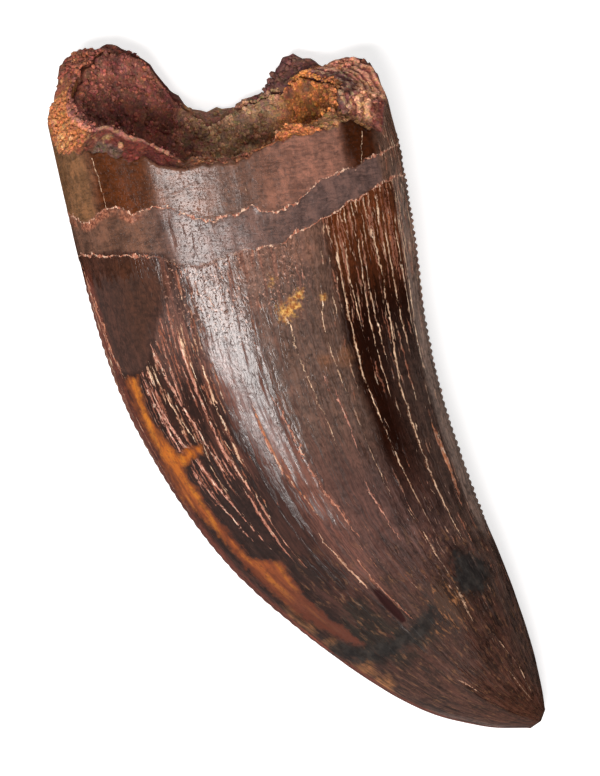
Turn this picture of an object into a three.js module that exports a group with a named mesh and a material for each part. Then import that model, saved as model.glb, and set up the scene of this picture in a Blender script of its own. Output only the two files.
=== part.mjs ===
// A tyrannosaurus tooth: a curved, blade-edged crown with a broken root end, lying on its side.
// The pulp cavity is open at the root and lined with a crust of cemented sand.
//
// Millimetres, +Z up. Z = 0 is the surface that the belly rests on, the broken root is towards +Y
// and the tip bends towards +X. The tooth is 2 separate solids: the tooth itself and the sand crust.

import * as THREE from "three";

// ---------------------------------------------------------------------------
// Driving dimensions, in millimetres unless they say otherwise
// ---------------------------------------------------------------------------

// Cross-sections at even steps from the root (first) to the tip (last). Each one is the chord from
// the mesial edge (outer curve) to the distal edge (inner curve), as [x, y], with the heights of the
// belly below it, of both edges and of the crest above it.
const STATIONS = [
  { mesial: [-26.7, 33.9], distal: [7.1, 38.9], belly: 1.1, edge: 10.2, crest: 21.2 },
  { mesial: [-24.85, 26.1], distal: [8.7, 30.5], belly: 0.45, edge: 9.9, crest: 21.0 },
  { mesial: [-23.1, 18.3], distal: [10.6, 22.7], belly: -0.35, edge: 9.4, crest: 20.2 },
  { mesial: [-20.95, 9.3], distal: [11.8, 14.9], belly: -0.45, edge: 8.9, crest: 19.2 },
  { mesial: [-18.0, 0.0], distal: [13.2, 5.5], belly: -0.45, edge: 8.3, crest: 18.0 },
  { mesial: [-13.35, -9.15], distal: [15.4, -3.2], belly: -0.3, edge: 7.6, crest: 16.4 },
  { mesial: [-6.6, -18.2], distal: [18.4, -11.8], belly: 0.15, edge: 6.8, crest: 14.5 },
  { mesial: [2.4, -26.0], distal: [21.0, -17.9], belly: 0.75, edge: 6.1, crest: 12.5 },
  { mesial: [11.2, -31.7], distal: [23.3, -24.4], belly: 1.5, edge: 5.3, crest: 10.1 },
  { mesial: [18.3, -33.9], distal: [24.6, -29.4], belly: 2.0, edge: 4.5, crest: 7.5 },
  { mesial: [23.6, -34.2], distal: [25.0, -32.3], belly: 2.8, edge: 3.8, crest: 4.9 },
];
const TIP_BULGE = 0.3; // how far the blunt tip stands past the last section
const MIDDLE = [0.07, 0.17]; // the middle of the outline in the numbers above; it goes to X = Y = 0

// Section shape: 1 is an ellipse, more is a lens with sharper edges.
const SHARPNESS_AT_ROOT = 1.04;
const SHARPNESS_AT_TIP = 1.3;
const MESIAL_FULLNESS = 0.12; // how much fatter the mesial half is than the distal half

// The broken root end: how far down the tooth (0 root, 1 tip) each side is broken away, at angles
// round the section in degrees: 0 distal edge, 90 crest, 180 mesial edge, 270 belly.
const OUTER_RIM = [
  [0, 0.122], [12, 0.128], [18, 0.14], [24, 0.16], [34, 0.156], [41, 0.141], [51, 0.151], [65, 0.155],
  [79, 0.165], [87, 0.18], [104, 0.177], [112, 0.172], [118, 0.159], [125, 0.158], [133, 0.148],
  [143, 0.141], [154, 0.139], [166, 0.136], [173, 0.12], [180, 0.1], [190, 0.088], [200, 0.074],
  [205, 0.061], [210, 0.035], [218, 0.021], [224, 0.01], [229, 0.018], [236, 0.01], [244, 0.024],
  [249, 0.047], [255, 0.076], [259, 0.092], [268, 0.107], [277, 0.102], [284, 0.094], [290, 0.086],
  [294, 0.062], [300, 0.052], [309, 0.064], [316, 0.071], [323, 0.065], [332, 0.064], [340, 0.078],
  [346, 0.098], [353, 0.114], [360, 0.122],
];
const INNER_RIM = [
  [0, 0.095], [17, 0.106], [22, 0.127], [34, 0.131], [44, 0.143], [56, 0.138], [63, 0.146],
  [66, 0.163], [72, 0.168], [86, 0.175], [98, 0.167], [105, 0.167], [111, 0.154], [121, 0.133],
  [138, 0.111], [153, 0.106], [163, 0.093], [180, 0.072], [192, 0.062], [205, 0.046], [215, 0.03],
  [224, 0.022], [236, 0.022], [246, 0.04], [255, 0.082], [268, 0.118], [280, 0.105], [290, 0.08],
  [298, 0.06], [308, 0.074], [320, 0.074], [336, 0.084], [360, 0.095],
];
const FRACTURE_ROUGHNESS = 0.5; // height of the lumps across the broken face
const RIM_RAGGEDNESS = 0.005; // same unit as the rims above

// The pulp cavity: wall thicknesses at the root, and where the rounded hollow starts and ends.
const WALL = { mesial: 2.6, distal: 4.3, belly: 2.2, crest: 2.1 };
const CAVITY_STRAIGHT_TO = 0.14;
const CAVITY_END = 0.46;

// The sand crust inside the cavity.
const CRUST_GAP = 0.3; // clearance to the cavity wall
const CRUST_THICKNESS = 1.1;
const CRUST_LUMPS = 0.7; // height of the lumps on its face
const CRUST_START = 0.012; // how far below the inner rim it starts
const CRUST_PLUG = 0.33; // where its face closes the hollow
const CRUST_BACK_END = 0.45; // where its back ends, just short of the end of the cavity

// Denticles along the two cutting edges, from and to a place along the tooth.
const DISTAL_DENTICLES = { from: 0.163, to: 0.61, pitch: 0.65, depth: 0.2 };
const MESIAL_DENTICLES = { from: 0.285, to: 0.71, pitch: 0.85, depth: 0.16 };

// Mesh resolution.
const COLUMNS = 72; // round the section, starting at the distal edge
const SURFACE_ROWS = 28; // from the rim to the tip
const RIM_ROWS = 7; // rows that still follow the ragged rim
const CAVITY_ROWS = 8;
const CRUST_BACK_ROWS = 6;
const CRUST_FACE_ROWS = 13;

const COLOURS = { enamel: 0x4a2c1e, sand: 0x8a5a36 };

// ---------------------------------------------------------------------------
// Shared shape functions
// ---------------------------------------------------------------------------

const curve = (pick) => new THREE.SplineCurve(STATIONS.map((s) => new THREE.Vector2(...pick(s))));
const mesialEdge = curve((s) => s.mesial);
const distalEdge = curve((s) => s.distal);
const bellyAndCrest = curve((s) => [s.belly, s.crest]);
const edgeHeight = curve((s) => [s.edge, 0]);

/** A repeatable value from -0.5 to 0.5 for a column and row, for ragged and lumpy surfaces. */
function scatter(column, row) {
  const wave = Math.sin(column * 12.9898 + row * 78.233) * 43758.5453;
  return wave - Math.floor(wave) - 0.5;
}

/** Straight-line reading of a list of [angle, value] pairs. */
function readRim(rim, angle) {
  const next = rim.findIndex(([a]) => a > angle);
  const [a0, v0] = rim[next - 1];
  const [a1, v1] = rim[next];
  return THREE.MathUtils.mapLinear(angle, a0, a1, v0, v1);
}

/** The section at a place along the tooth: its centre, the half chord to the distal edge, its heights. */
function section(along) {
  const mesial = mesialEdge.getPoint(along);
  const distal = distalEdge.getPoint(along);
  const heights = bellyAndCrest.getPoint(along);
  return {
    centre: mesial.clone().add(distal).multiplyScalar(0.5),
    half: distal.clone().sub(mesial).multiplyScalar(0.5),
    belly: heights.x,
    crest: heights.y,
    edge: edgeHeight.getPoint(along).x,
  };
}

/** A point on the outside of the tooth; the belly is worn flat where it meets the surface below. */
function outside(along, angle) {
  const { centre, half, belly, crest, edge } = section(along);
  const turn = THREE.MathUtils.degToRad(angle);
  const sharpness = THREE.MathUtils.lerp(SHARPNESS_AT_ROOT, SHARPNESS_AT_TIP, along);
  const swell = Math.abs(Math.sin(turn)) ** sharpness * (1 - MESIAL_FULLNESS * Math.cos(turn));
  const height = angle < 180 ? edge + (crest - edge) * swell : edge - (edge - belly) * swell;
  const spot = centre.addScaledVector(half, Math.cos(turn));
  return new THREE.Vector3(spot.x, spot.y, Math.max(height, 0));
}

/** A point on the wall of the pulp cavity, moved inwards by inset, in a hollow that closes at end. */
function cavityWall(along, angle, inset, end) {
  const { centre, half, belly, crest } = section(along);
  const turn = THREE.MathUtils.degToRad(angle);
  const depth = Math.max(0, (along - CAVITY_STRAIGHT_TO) / (end - CAVITY_STRAIGHT_TO));
  const closing = Math.sqrt(Math.max(0, 1 - depth ** 2));
  const direction = half.clone().normalize();
  const wide = (half.length() - (WALL.mesial + WALL.distal) / 2 - inset) * closing;
  const tall = ((crest - belly - WALL.belly - WALL.crest) / 2 - inset) * closing;
  const middle = centre.addScaledVector(direction, (WALL.mesial - WALL.distal) / 2);
  const spot = middle.addScaledVector(direction, wide * Math.cos(turn));
  const level = (crest - WALL.crest + belly + WALL.belly) / 2;
  return new THREE.Vector3(spot.x, spot.y, level + tall * Math.sin(turn));
}

const angleOf = (column) => (360 * column) / COLUMNS;
const outerRimAt = (column) =>
  readRim(OUTER_RIM, angleOf(column)) + RIM_RAGGEDNESS * scatter(column, 1);
const innerRimAt = (column) =>
  readRim(INNER_RIM, angleOf(column)) + RIM_RAGGEDNESS * scatter(column, 2);

/**
 * A closed skin over columns of points that run side by side round a body, each from the first
 * pole to the last one. A column is a list of { row, at }: two neighbours are zipped together by
 * their row numbers, so one of them may hold more points than the other.
 */
function closedSkin(columns, firstPole, lastPole) {
  const positions = [];
  const add = (point) => positions.push(...point.toArray()) / 3 - 1;
  const first = add(firstPole);
  const last = add(lastPole);
  const lines = columns.map((column) => column.map(({ row, at }) => ({ row, index: add(at) })));
  const faces = [];
  lines.forEach((line, number) => {
    const next = lines[(number + 1) % lines.length];
    faces.push(first, next[0].index, line[0].index);
    let a = 0;
    let b = 0;
    while (a < line.length - 1 || b < next.length - 1) {
      const middleA = a < line.length - 1 ? line[a].row + line[a + 1].row : Infinity;
      const middleB = b < next.length - 1 ? next[b].row + next[b + 1].row : Infinity;
      if (middleA <= middleB) {
        faces.push(line[a].index, next[b].index, line[a + 1].index);
        a += 1;
      } else {
        faces.push(line[a].index, next[b].index, next[b + 1].index);
        b += 1;
      }
    }
    faces.push(last, line.at(-1).index, next.at(-1).index);
  });
  const geometry = new THREE.BufferGeometry();
  geometry.setAttribute("position", new THREE.Float32BufferAttribute(positions, 3));
  geometry.setIndex(faces);
  geometry.computeVertexNormals();
  return geometry;
}

const columnList = (build) => Array.from({ length: COLUMNS }, (_, column) => build(column));
const rowList = (count, build) => Array.from({ length: count }, (_, row) => build(row));

// ---------------------------------------------------------------------------
// The tooth
// ---------------------------------------------------------------------------

/** Places along the tooth of the rows of one column, evening out from the ragged rim. */
function surfaceRows(column) {
  const rim = outerRimAt(column);
  const evenRim = 0.12;
  return rowList(SURFACE_ROWS + 1, (row) => {
    const even = THREE.MathUtils.lerp(evenRim, 1, row / SURFACE_ROWS);
    const ragged = Math.max(0, 1 - row / RIM_ROWS) ** 2;
    return even + (rim - evenRim) * ragged;
  });
}

/** Valleys and tips of the denticles of one edge, as places along it with their outward offsets. */
function denticles(edge, { from, to, pitch, depth }) {
  const samples = 200;
  const ends = rowList(samples + 1, (i) => edge.getPoint(THREE.MathUtils.lerp(from, to, i / samples)));
  const length = ends.slice(1).reduce((sum, end, i) => sum + end.distanceTo(ends[i]), 0);
  const count = Math.round(length / pitch);
  return rowList(2 * count + 1, (i) => ({
    along: THREE.MathUtils.lerp(from, to, i / (2 * count)),
    offset: i % 2 ? depth / 3 : (-depth * 2) / 3,
  }));
}

/** The outside of one column; the two edge columns carry denticles instead of their plain rows. */
function surfaceColumn(column) {
  const places = surfaceRows(column);
  const angle = angleOf(column);
  const plain = places.map((along, row) => ({ row, along, at: outside(along, angle) }));
  const serrated = { 0: [distalEdge, DISTAL_DENTICLES, 1], 180: [mesialEdge, MESIAL_DENTICLES, -1] };
  if (!(angle in serrated)) return plain;
  const [edge, span, side] = serrated[angle];
  const teeth = denticles(edge, span).map(({ along, offset }) => {
    const above = places.findIndex((place) => place > along);
    const row = THREE.MathUtils.mapLinear(along, places[above - 1], places[above], above - 1, above);
    const outward = section(along).half.normalize().multiplyScalar(side * offset);
    return { row, along, at: outside(along, angle).add(new THREE.Vector3(outward.x, outward.y, 0)) };
  });
  const outsideSpan = plain.filter(({ along }) => along < span.from || along > span.to);
  return [...outsideSpan, ...teeth].sort((p, q) => p.along - q.along);
}

/** One column of the tooth: up the cavity wall, over the broken face and down the outside. */
function toothColumn(column) {
  const angle = angleOf(column);
  const rim = innerRimAt(column);
  const wall = rowList(CAVITY_ROWS, (row) => {
    const climb = Math.sin(((row + 1) / CAVITY_ROWS) * (Math.PI / 2));
    const along = THREE.MathUtils.lerp(CAVITY_END, rim, 1 - Math.sqrt(1 - climb ** 2));
    return { row, at: cavityWall(along, angle, 0, CAVITY_END) };
  });
  const surface = surfaceColumn(column);
  const broken = wall.at(-1).at.clone().lerp(surface[0].at, 0.5);
  broken.y += FRACTURE_ROUGHNESS * scatter(column, 3);
  const shifted = surface.map(({ row, at }) => ({ row: row + CAVITY_ROWS + 1, at }));
  return [...wall, { row: CAVITY_ROWS, at: broken }, ...shifted];
}

function toothGeometry() {
  const columns = columnList(toothColumn);
  const cavityFloor = cavityWall(CAVITY_END, 0, 0, CAVITY_END);
  const tip = section(1);
  const onward = new THREE.Vector2(tip.half.y, -tip.half.x).normalize().multiplyScalar(TIP_BULGE);
  const tipPoint = new THREE.Vector3(tip.centre.x + onward.x, tip.centre.y + onward.y, tip.edge);
  return closedSkin(columns, cavityFloor, tipPoint);
}

// ---------------------------------------------------------------------------
// The sand crust
// ---------------------------------------------------------------------------

/** One column of the crust: up its lumpy face, then down its back against the cavity wall. */
function crustColumn(column) {
  const angle = angleOf(column);
  const start = innerRimAt(column) + CRUST_START;
  const face = rowList(CRUST_FACE_ROWS, (row) => {
    const fromRim = CRUST_FACE_ROWS - 1 - row;
    const descent = Math.sin((fromRim / CRUST_FACE_ROWS) * (Math.PI / 2));
    const lump = CRUST_LUMPS * (0.5 + scatter(column, fromRim + 10));
    const inset = CRUST_GAP + (fromRim === 0 ? 0.5 : 1) * CRUST_THICKNESS + lump;
    const along = THREE.MathUtils.lerp(start, CRUST_PLUG, descent);
    return { row, at: cavityWall(along, angle, inset, CRUST_PLUG) };
  });
  const back = rowList(CRUST_BACK_ROWS, (row) => {
    const along = THREE.MathUtils.lerp(start, CRUST_BACK_END, row / CRUST_BACK_ROWS);
    return { row: row + CRUST_FACE_ROWS, at: cavityWall(along, angle, CRUST_GAP, CRUST_BACK_END) };
  });
  return [...face, ...back];
}

function crustGeometry() {
  const facePole = cavityWall(CRUST_PLUG, 0, 0, CRUST_PLUG);
  const backPole = cavityWall(CRUST_BACK_END, 0, 0, CRUST_BACK_END);
  return closedSkin(columnList(crustColumn), facePole, backPole);
}

// ---------------------------------------------------------------------------
// Assembly
// ---------------------------------------------------------------------------

function piece(name, geometry, color, roughness) {
  const material = new THREE.MeshStandardMaterial({ color, roughness, metalness: 0 });
  const mesh = new THREE.Mesh(geometry, material);
  mesh.name = name;
  return mesh;
}

const tooth = new THREE.Group();
tooth.position.set(-MIDDLE[0], -MIDDLE[1], 0);
tooth.add(piece("tooth", toothGeometry(), COLOURS.enamel, 0.35));
tooth.add(piece("sandstone_lining", crustGeometry(), COLOURS.sand, 0.95));

export default tooth;
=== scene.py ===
"""Looks of the tyrannosaurus tooth: a fossil tooth that lies on its flatter face, with cemented sand
in its open root end. Shapes are worked out in millimetres and handed to Blender in metres.

Places on the tooth are (along, across): along runs from 0 at the root to 1 at the tip, and across from
0 at the mesial cutting edge to 1 at the distal one. The face is the side that looks up."""

import math
from itertools import product
from types import SimpleNamespace

import bmesh
import bpy
import numpy as np
from mathutils import Matrix, Vector


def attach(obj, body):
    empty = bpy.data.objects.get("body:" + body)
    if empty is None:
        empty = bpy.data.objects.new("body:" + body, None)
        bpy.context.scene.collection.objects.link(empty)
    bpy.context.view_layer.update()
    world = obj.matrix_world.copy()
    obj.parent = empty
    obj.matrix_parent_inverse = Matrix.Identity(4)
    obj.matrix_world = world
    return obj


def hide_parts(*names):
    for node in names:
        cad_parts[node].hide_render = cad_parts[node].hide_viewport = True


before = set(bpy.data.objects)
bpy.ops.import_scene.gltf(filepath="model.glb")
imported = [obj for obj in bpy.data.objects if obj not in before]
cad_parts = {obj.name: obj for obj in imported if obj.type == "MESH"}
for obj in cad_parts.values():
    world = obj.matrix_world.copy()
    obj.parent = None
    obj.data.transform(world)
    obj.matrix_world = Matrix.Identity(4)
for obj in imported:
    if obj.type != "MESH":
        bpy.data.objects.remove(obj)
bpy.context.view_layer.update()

MM = 0.001

# ---------------------------------------------------------------------------
# Shape of the tooth. Its sections, wall and cavity are those of the part's source. The broken rims, the
# start of the crust and the denticles follow the photo more closely.
# ---------------------------------------------------------------------------

STATIONS = [
    # mesial x, y, distal x, y, heights of belly, edge and crest
    (-26.7, 33.9, 7.1, 38.9, 1.1, 10.2, 21.2),
    (-24.85, 26.1, 8.7, 30.5, 0.45, 9.9, 21.0),
    (-23.1, 18.3, 10.6, 22.7, -0.35, 9.4, 20.2),
    (-20.95, 9.3, 11.8, 14.9, -0.45, 8.9, 19.2),
    (-18.0, 0.0, 13.2, 5.5, -0.45, 8.3, 18.0),
    (-13.35, -9.15, 15.4, -3.2, -0.3, 7.6, 16.4),
    (-6.6, -18.2, 18.4, -11.8, 0.15, 6.8, 14.5),
    (2.4, -26.0, 21.0, -17.9, 0.75, 6.1, 12.5),
    (11.2, -31.7, 23.3, -24.4, 1.5, 5.3, 10.1),
    (18.3, -33.9, 24.6, -29.4, 2.0, 4.5, 7.5),
    (23.6, -34.2, 25.0, -32.3, 2.8, 3.8, 4.9),
]
MIDDLE = (0.07, 0.17)  # of the tooth in plan
TIP_BULGE = 0.3
SHARPNESS = (1.04, 1.3)  # of the sections, at the root and at the tip
MESIAL_FULLNESS = 0.12
LENGTH = 83.0  # along the middle of the tooth
WIDTH = 35.0  # across its root
FACE_APART = 40.0  # sets the patterns of the face apart from those of the back
FAR = -9.0  # well outside any patch
OCHRE_FROM = 0.25  # along the tooth
BACK_ROOT_LINE, BACK_ENAMEL_LINE = 0.212, 0.262  # along the tooth, at its mesial edge
GUNK_REACH, CREVICE_REACH = 0.62, 0.04  # to either side of their lines, in mm
GROUND = (48, 23, 14)  # the colour under all others of the skin

# Broken rims of the root end: (angle round the section, along).
OUTER_RIM = [
    (0, 0.122), (12, 0.128), (18, 0.14), (24, 0.16), (34, 0.156), (41, 0.141), (51, 0.151), (65, 0.155),
    (79, 0.165), (87, 0.18), (104, 0.177), (112, 0.172), (118, 0.159), (125, 0.158), (133, 0.148),
    (143, 0.141), (154, 0.139), (166, 0.136), (173, 0.12), (180, 0.1), (190, 0.088), (200, 0.074),
    (205, 0.061), (210, 0.035), (218, 0.021), (224, 0.01), (229, 0.018), (236, 0.01), (244, 0.024),
    (249, 0.047), (255, 0.076), (259, 0.092), (268, 0.107), (277, 0.102), (284, 0.094), (290, 0.086),
    (293, 0.062), (300, 0.05), (309, 0.064), (313, 0.074), (317, 0.077), (322, 0.071), (332, 0.068),
    (340, 0.073), (346, 0.09), (353, 0.109), (360, 0.121),
]
INNER_RIM = [
    (0, 0.095), (17, 0.106), (22, 0.127), (34, 0.131), (44, 0.143), (56, 0.138), (63, 0.146), (66, 0.163),
    (72, 0.168), (86, 0.175), (98, 0.167), (105, 0.167), (111, 0.154), (121, 0.133), (138, 0.111),
    (153, 0.106), (163, 0.093), (180, 0.072), (192, 0.062), (205, 0.046), (215, 0.03), (224, 0.022),
    (236, 0.022), (246, 0.04), (255, 0.082), (268, 0.118), (280, 0.106), (290, 0.098), (298, 0.092),
    (308, 0.088), (316, 0.078), (322, 0.075), (336, 0.084), (360, 0.095),
]
RIM_RAGGEDNESS = 0.0035
OUTER_SEED, INNER_SEED = 1, 2
EVEN_RIM = 0.12  # where the rows of points would start on an even rim
RIM_REACH = 0.22  # how far along from there the rows follow the ragged rim

# The cavity and the crust of sand in it: thicknesses in mm, and starts and ends along the tooth.
WALL = {"mesial": 2.6, "distal": 4.3, "belly": 2.2, "crest": 2.1}
CAVITY_STRAIGHT_TO = 0.14
CAVITY_END = 0.46
CRUST_GAP = 0.3
CRUST_THICKNESS = 1.1
CRUST_START = 0.006  # from the inner rim
CRUST_PLUG = 0.33
CRUST_BACK_END = 0.45

ENAMEL_ALBEDO = 0.66  # of the brightness that its colours have in full light

# Denticles of the cutting edges: from, to, pitch and depth.
DISTAL_DENTICLES = (0.163, 0.63, 0.64, 0.28)
MESIAL_DENTICLES = (0.285, 0.71, 0.8, 0.11)
DISTAL_STRETCH, MESIAL_STRETCH = 1.03, 0.98  # lengths of the two edges, against the middle's


def spline(points, at):
    """Points of an even Catmull-Rom curve through points, for at from 0 to 1."""
    points = np.asarray(points, float)
    last = len(points) - 1
    place = np.clip(np.asarray(at, float), 0, 1) * last
    k = np.minimum(place.astype(int), last - 1)
    w = (place - k)[..., None]
    before, here, after, beyond = (points[np.clip(k + step, 0, last)] for step in (-1, 0, 1, 2))
    leave, arrive = (after - before) / 2, (beyond - here) / 2
    cubic = 2 * here - 2 * after + leave + arrive
    square = -3 * here + 3 * after - 2 * leave - arrive
    return (cubic * w + square) * w * w + leave * w + here


def section(along):
    """Centre, half chord to the distal edge, and heights of belly, edge and crest."""
    rows = spline(STATIONS, along)
    mesial, distal = rows[..., 0:2] - MIDDLE, rows[..., 2:4] - MIDDLE
    return (mesial + distal) / 2, (distal - mesial) / 2, rows[..., 4], rows[..., 5], rows[..., 6]


def outside(along, angle):
    """Points of the skin. The angle is 0 at the distal edge, 90 on the crest of the face, 180 at the mesial
    edge and 270 on the belly."""
    centre, half, belly, edge, crest = section(along)
    turn = np.radians(angle)
    sharpness = SHARPNESS[0] + (SHARPNESS[1] - SHARPNESS[0]) * along
    swell = np.abs(np.sin(turn)) ** sharpness * (1 - MESIAL_FULLNESS * np.cos(turn))
    height = np.where(angle < 180, edge + (crest - edge) * swell, edge - (edge - belly) * swell)
    spot = centre + half * np.cos(turn)[..., None]
    return np.concatenate([spot, np.maximum(height, 0)[..., None]], -1)


def round_the_skin(angle):
    """Distance from the mesial edge round the face or the back to each angle, in mm, where it is widest."""
    turn = np.linspace(0, 360, 721)
    steps = np.diff(outside(np.full(len(turn), 0.35), turn), axis=0)
    gone = np.append(0, np.cumsum(np.linalg.norm(steps, axis=1)))
    return np.abs(np.interp(angle, turn, gone) - np.interp(180, turn, gone))


def cavity_wall(along, angle, inset, end):
    """Points of the cavity's wall, moved inwards by inset, in a hollow that closes at end."""
    centre, half, belly, _, crest = section(along)
    turn = np.radians(angle)
    depth = np.maximum(0, (along - CAVITY_STRAIGHT_TO) / (end - CAVITY_STRAIGHT_TO))
    closing = np.sqrt(np.maximum(0, 1 - depth**2))
    length = np.linalg.norm(half, axis=-1)
    direction = half / length[..., None]
    wide = (length - (WALL["mesial"] + WALL["distal"]) / 2 - inset) * closing
    tall = ((crest - belly - WALL["belly"] - WALL["crest"]) / 2 - inset) * closing
    aside = (WALL["mesial"] - WALL["distal"]) / 2 + wide * np.cos(turn)
    level = (crest - WALL["crest"] + belly + WALL["belly"]) / 2
    spot = centre + direction * aside[..., None]
    return np.concatenate([spot, (level + tall * np.sin(turn))[..., None]], -1)


def read_rim(rim, angle, seed):
    """Place along the tooth of a broken rim, with its fine jags."""
    angles, places = zip(*rim)
    turn = np.stack([angle, 0 * angle, 0 * angle], -1)
    jag = noise(turn, 2.2, seed) + smooth(196, 204, angle) * noise(turn, 6.0, seed)
    return np.interp(angle, angles, places) + RIM_RAGGEDNESS * jag


# ---------------------------------------------------------------------------
# Noise and masks
# ---------------------------------------------------------------------------


def scatter(cell):
    """A repeatable value from -1 to 1 for a whole-numbered place."""
    wave = np.sin(cell @ np.array([12.9898, 78.233, 37.719])) * 43758.5453
    return 2 * (wave - np.floor(wave)) - 1


def noise(points, size, seed=0):
    """Smooth noise from -1 to 1, with lumps of about this size (one value or one for each axis)."""
    place = points / np.asarray(size, float) + 31.7 * seed + 0.37
    cell = np.floor(place)
    w = place - cell
    w = w * w * (3 - 2 * w)
    total = 0
    for corner in product((0, 1), repeat=3):
        weight = np.prod(np.where(corner, w, 1 - w), axis=-1)
        total = total + weight * scatter(cell + corner)
    return total


def rough_noise(points, size, seed=0, octaves=3):
    """Noise with ever finer noise added to it."""
    return sum(noise(points, np.asarray(size) / 2**k, seed + k) / 2**k for k in range(octaves)) / 1.6


def pebbles(points, size, seed=0):
    """Rounded bumps of about this size, packed together: a height from 0 to 1, and a value for each bump."""
    place = points / size + 11.3 * seed
    cell = np.floor(place)
    nearest = np.full(place.shape[:-1], np.inf)
    owner = np.zeros(place.shape[:-1])
    for step in product((-1, 0, 1), repeat=3):
        corner = cell + step
        aside = np.stack([scatter(corner + 19.1 * axis) for axis in range(3)], -1)
        distance = np.linalg.norm(place - corner - 0.5 - 0.42 * aside, axis=-1)
        owner = np.where(distance < nearest, scatter(corner + 57.0), owner)
        nearest = np.minimum(nearest, distance)
    return np.sqrt(np.clip(1 - (nearest / 0.8) ** 2, 0, 1)), owner


def smooth(low, high, value):
    """0 below low, 1 above high (or the other way round when low is the greater)."""
    w = np.clip((value - low) / (high - low), 0, 1)
    return w * w * (3 - 2 * w)


def band(value, low, full, full_end, end):
    """1 between the two middle values, falling smoothly to 0 at the two outer ones."""
    return smooth(low, full, value) * smooth(end, full_end, value)


def near_line(spots, line):
    """Distance to an open line."""
    nearest = np.full(len(spots), np.inf)
    corners = np.asarray(line, float)
    for a, b in zip(corners[:-1], corners[1:]):
        edge, reach = b - a, spots - a
        t = np.clip(reach @ edge / (edge @ edge), 0, 1)
        nearest = np.minimum(nearest, np.linalg.norm(reach - t[:, None] * edge, axis=1))
    return nearest


def inside(spots, outline):
    """Distance to a closed outline, positive inside it."""
    corners = np.asarray([*outline, outline[0]], float)
    nearest = near_line(spots, corners)
    within = np.zeros(len(spots), bool)
    for a, b in zip(corners[:-1], corners[1:]):
        crosses = (a[1] > spots[:, 1]) != (b[1] > spots[:, 1])
        rise = b[1] - a[1] if b[1] != a[1] else 1.0
        within ^= crosses & (spots[:, 0] < a[0] + (spots[:, 1] - a[1]) * (b[0] - a[0]) / rise)
    return np.where(within, nearest, -nearest)


def inside_rounds(spots, rounds):
    """Distance to the edge of the nearest of some round spots (x, y, radius), positive inside it."""
    return np.max([radius - np.hypot(spots[:, 0] - x, spots[:, 1] - y) for x, y, radius in rounds], axis=0)


# ---------------------------------------------------------------------------
# Where things are on the face, in plan millimetres from the middle of the tooth
# ---------------------------------------------------------------------------

# Ragged line where the bare root gives way to the thin collar, and the line where the enamel starts.
ROOT_LINE = [
    (-24.5, 17.6), (-22.9, 17.3), (-21.6, 16.5), (-20.8, 16.3), (-19.2, 17.6), (-17.8, 17.7), (-16.4, 17.1),
    (-15.5, 17.5), (-13.9, 17.8), (-12.6, 17.7), (-10.4, 16.8), (-9.1, 16.6), (-7.9, 16.7), (-5.7, 17.2),
    (-4.5, 17.9), (-3.7, 17.4), (-2.1, 17.4), (-0.1, 18.2), (1.0, 19.4), (2.5, 20.6), (3.4, 21.0),
    (5.0, 21.7), (5.7, 21.6), (6.6, 22.6), (8.8, 23.5), (12.0, 25.2),
]
ENAMEL_LINE = [
    (-23.5, 13.1), (-18.1, 13.0), (-13.9, 12.8), (-11.9, 12.3), (-9.9, 12.0), (-8.3, 12.5), (-5.7, 13.4),
    (-3.8, 13.7), (-1.4, 14.2), (-0.4, 15.2), (0.9, 15.7), (2.7, 16.9), (4.0, 17.4), (4.9, 18.2),
    (6.2, 18.8), (7.3, 19.7), (9.5, 20.9), (12.0, 21.6),
]
# Patches of the face as outlines, but for GUNK and CREVICE, which are lines.
DARK_PATCH = [
    (-22.5, 13.1), (-21.3, 11.2), (-19.3, 6.0), (-18.4, 2.6), (-17.6, 1.4), (-16.1, 1.2), (-15.2, 1.8),
    (-14.6, 3.4), (-13.8, 6.6), (-12.6, 9.2), (-12.1, 10.4), (-12.1, 11.9), (-12.9, 13.1), (-17.0, 13.5),
]
OCHRE = [
    (-16.0, 1.1), (-15.5, -1.3), (-14.6, -3.3), (-12.0, -6.8), (-11.0, -6.0), (-9.5, -5.7), (-9.3, -6.7),
    (-10.6, -7.4), (-11.3, -8.3), (-10.8, -9.5), (-9.9, -10.1), (-9.5, -11.5), (-6.4, -15.3), (-4.8, -17.0),
    (-1.6, -17.5), (0.9, -21.3), (3.4, -23.3), (6.8, -25.9), (5.4, -26.1), (0.4, -23.3),
    (-4.2, -19.4), (-7.7, -15.4), (-12.0, -11.2), (-13.8, -7.6), (-15.9, -3.3), (-17.7, 0.8),
]
GUNK = [(3.9, -26.3), (6.3, -27.0), (9.1, -26.2), (11.6, -24.7), (13.3, -22.7)]
LENS = [
    (7.3, -20.1), (8.1, -20.2), (9.3, -21.3), (10.3, -22.3), (10.9, -23.4), (10.4, -23.6), (9.3, -22.7),
    (8.2, -21.5),
]
CREVICE = [(-13.5, 18.7), (-11.3, 19.8), (-9.9, 20.6)]
BLACK_PATCH = [(15.8, -16.9), (17.3, -16.7), (18.7, -17.8), (18.5, -20.0), (17.0, -20.3), (16.0, -19.4)]
RUST = [
    (14.0, -18.4), (15.6, -18.8), (16.6, -20.6), (17.4, -22.6), (16.0, -25.2), (13.4, -24.6),
    (12.4, -21.0),
]
TARNISH = [
    (6.4, -21.3), (8.7, -23.5), (11.0, -24.5), (13.4, -23.5), (13.8, -25.3), (11.7, -26.8),
    (10.2, -27.7), (7.2, -27.3), (5.2, -26.1), (4.2, -21.8),
]
SHADE = [
    (15.7, -16.3), (18.7, -16.1), (20.7, -18.8), (21.7, -23.3), (20.2, -24.5), (18.2, -21.3),
    (16.4, -20.3),
]
# Yellow blotches: x, y and radius.
YELLOW_SPOTS = [(-1.1, 7.4, 0.85), (-0.5, 8.1, 0.6), (0.1, 9.2, 0.3), (-2.7, 10.6, 0.3), (2.6, 8.7, 0.25)]
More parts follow.
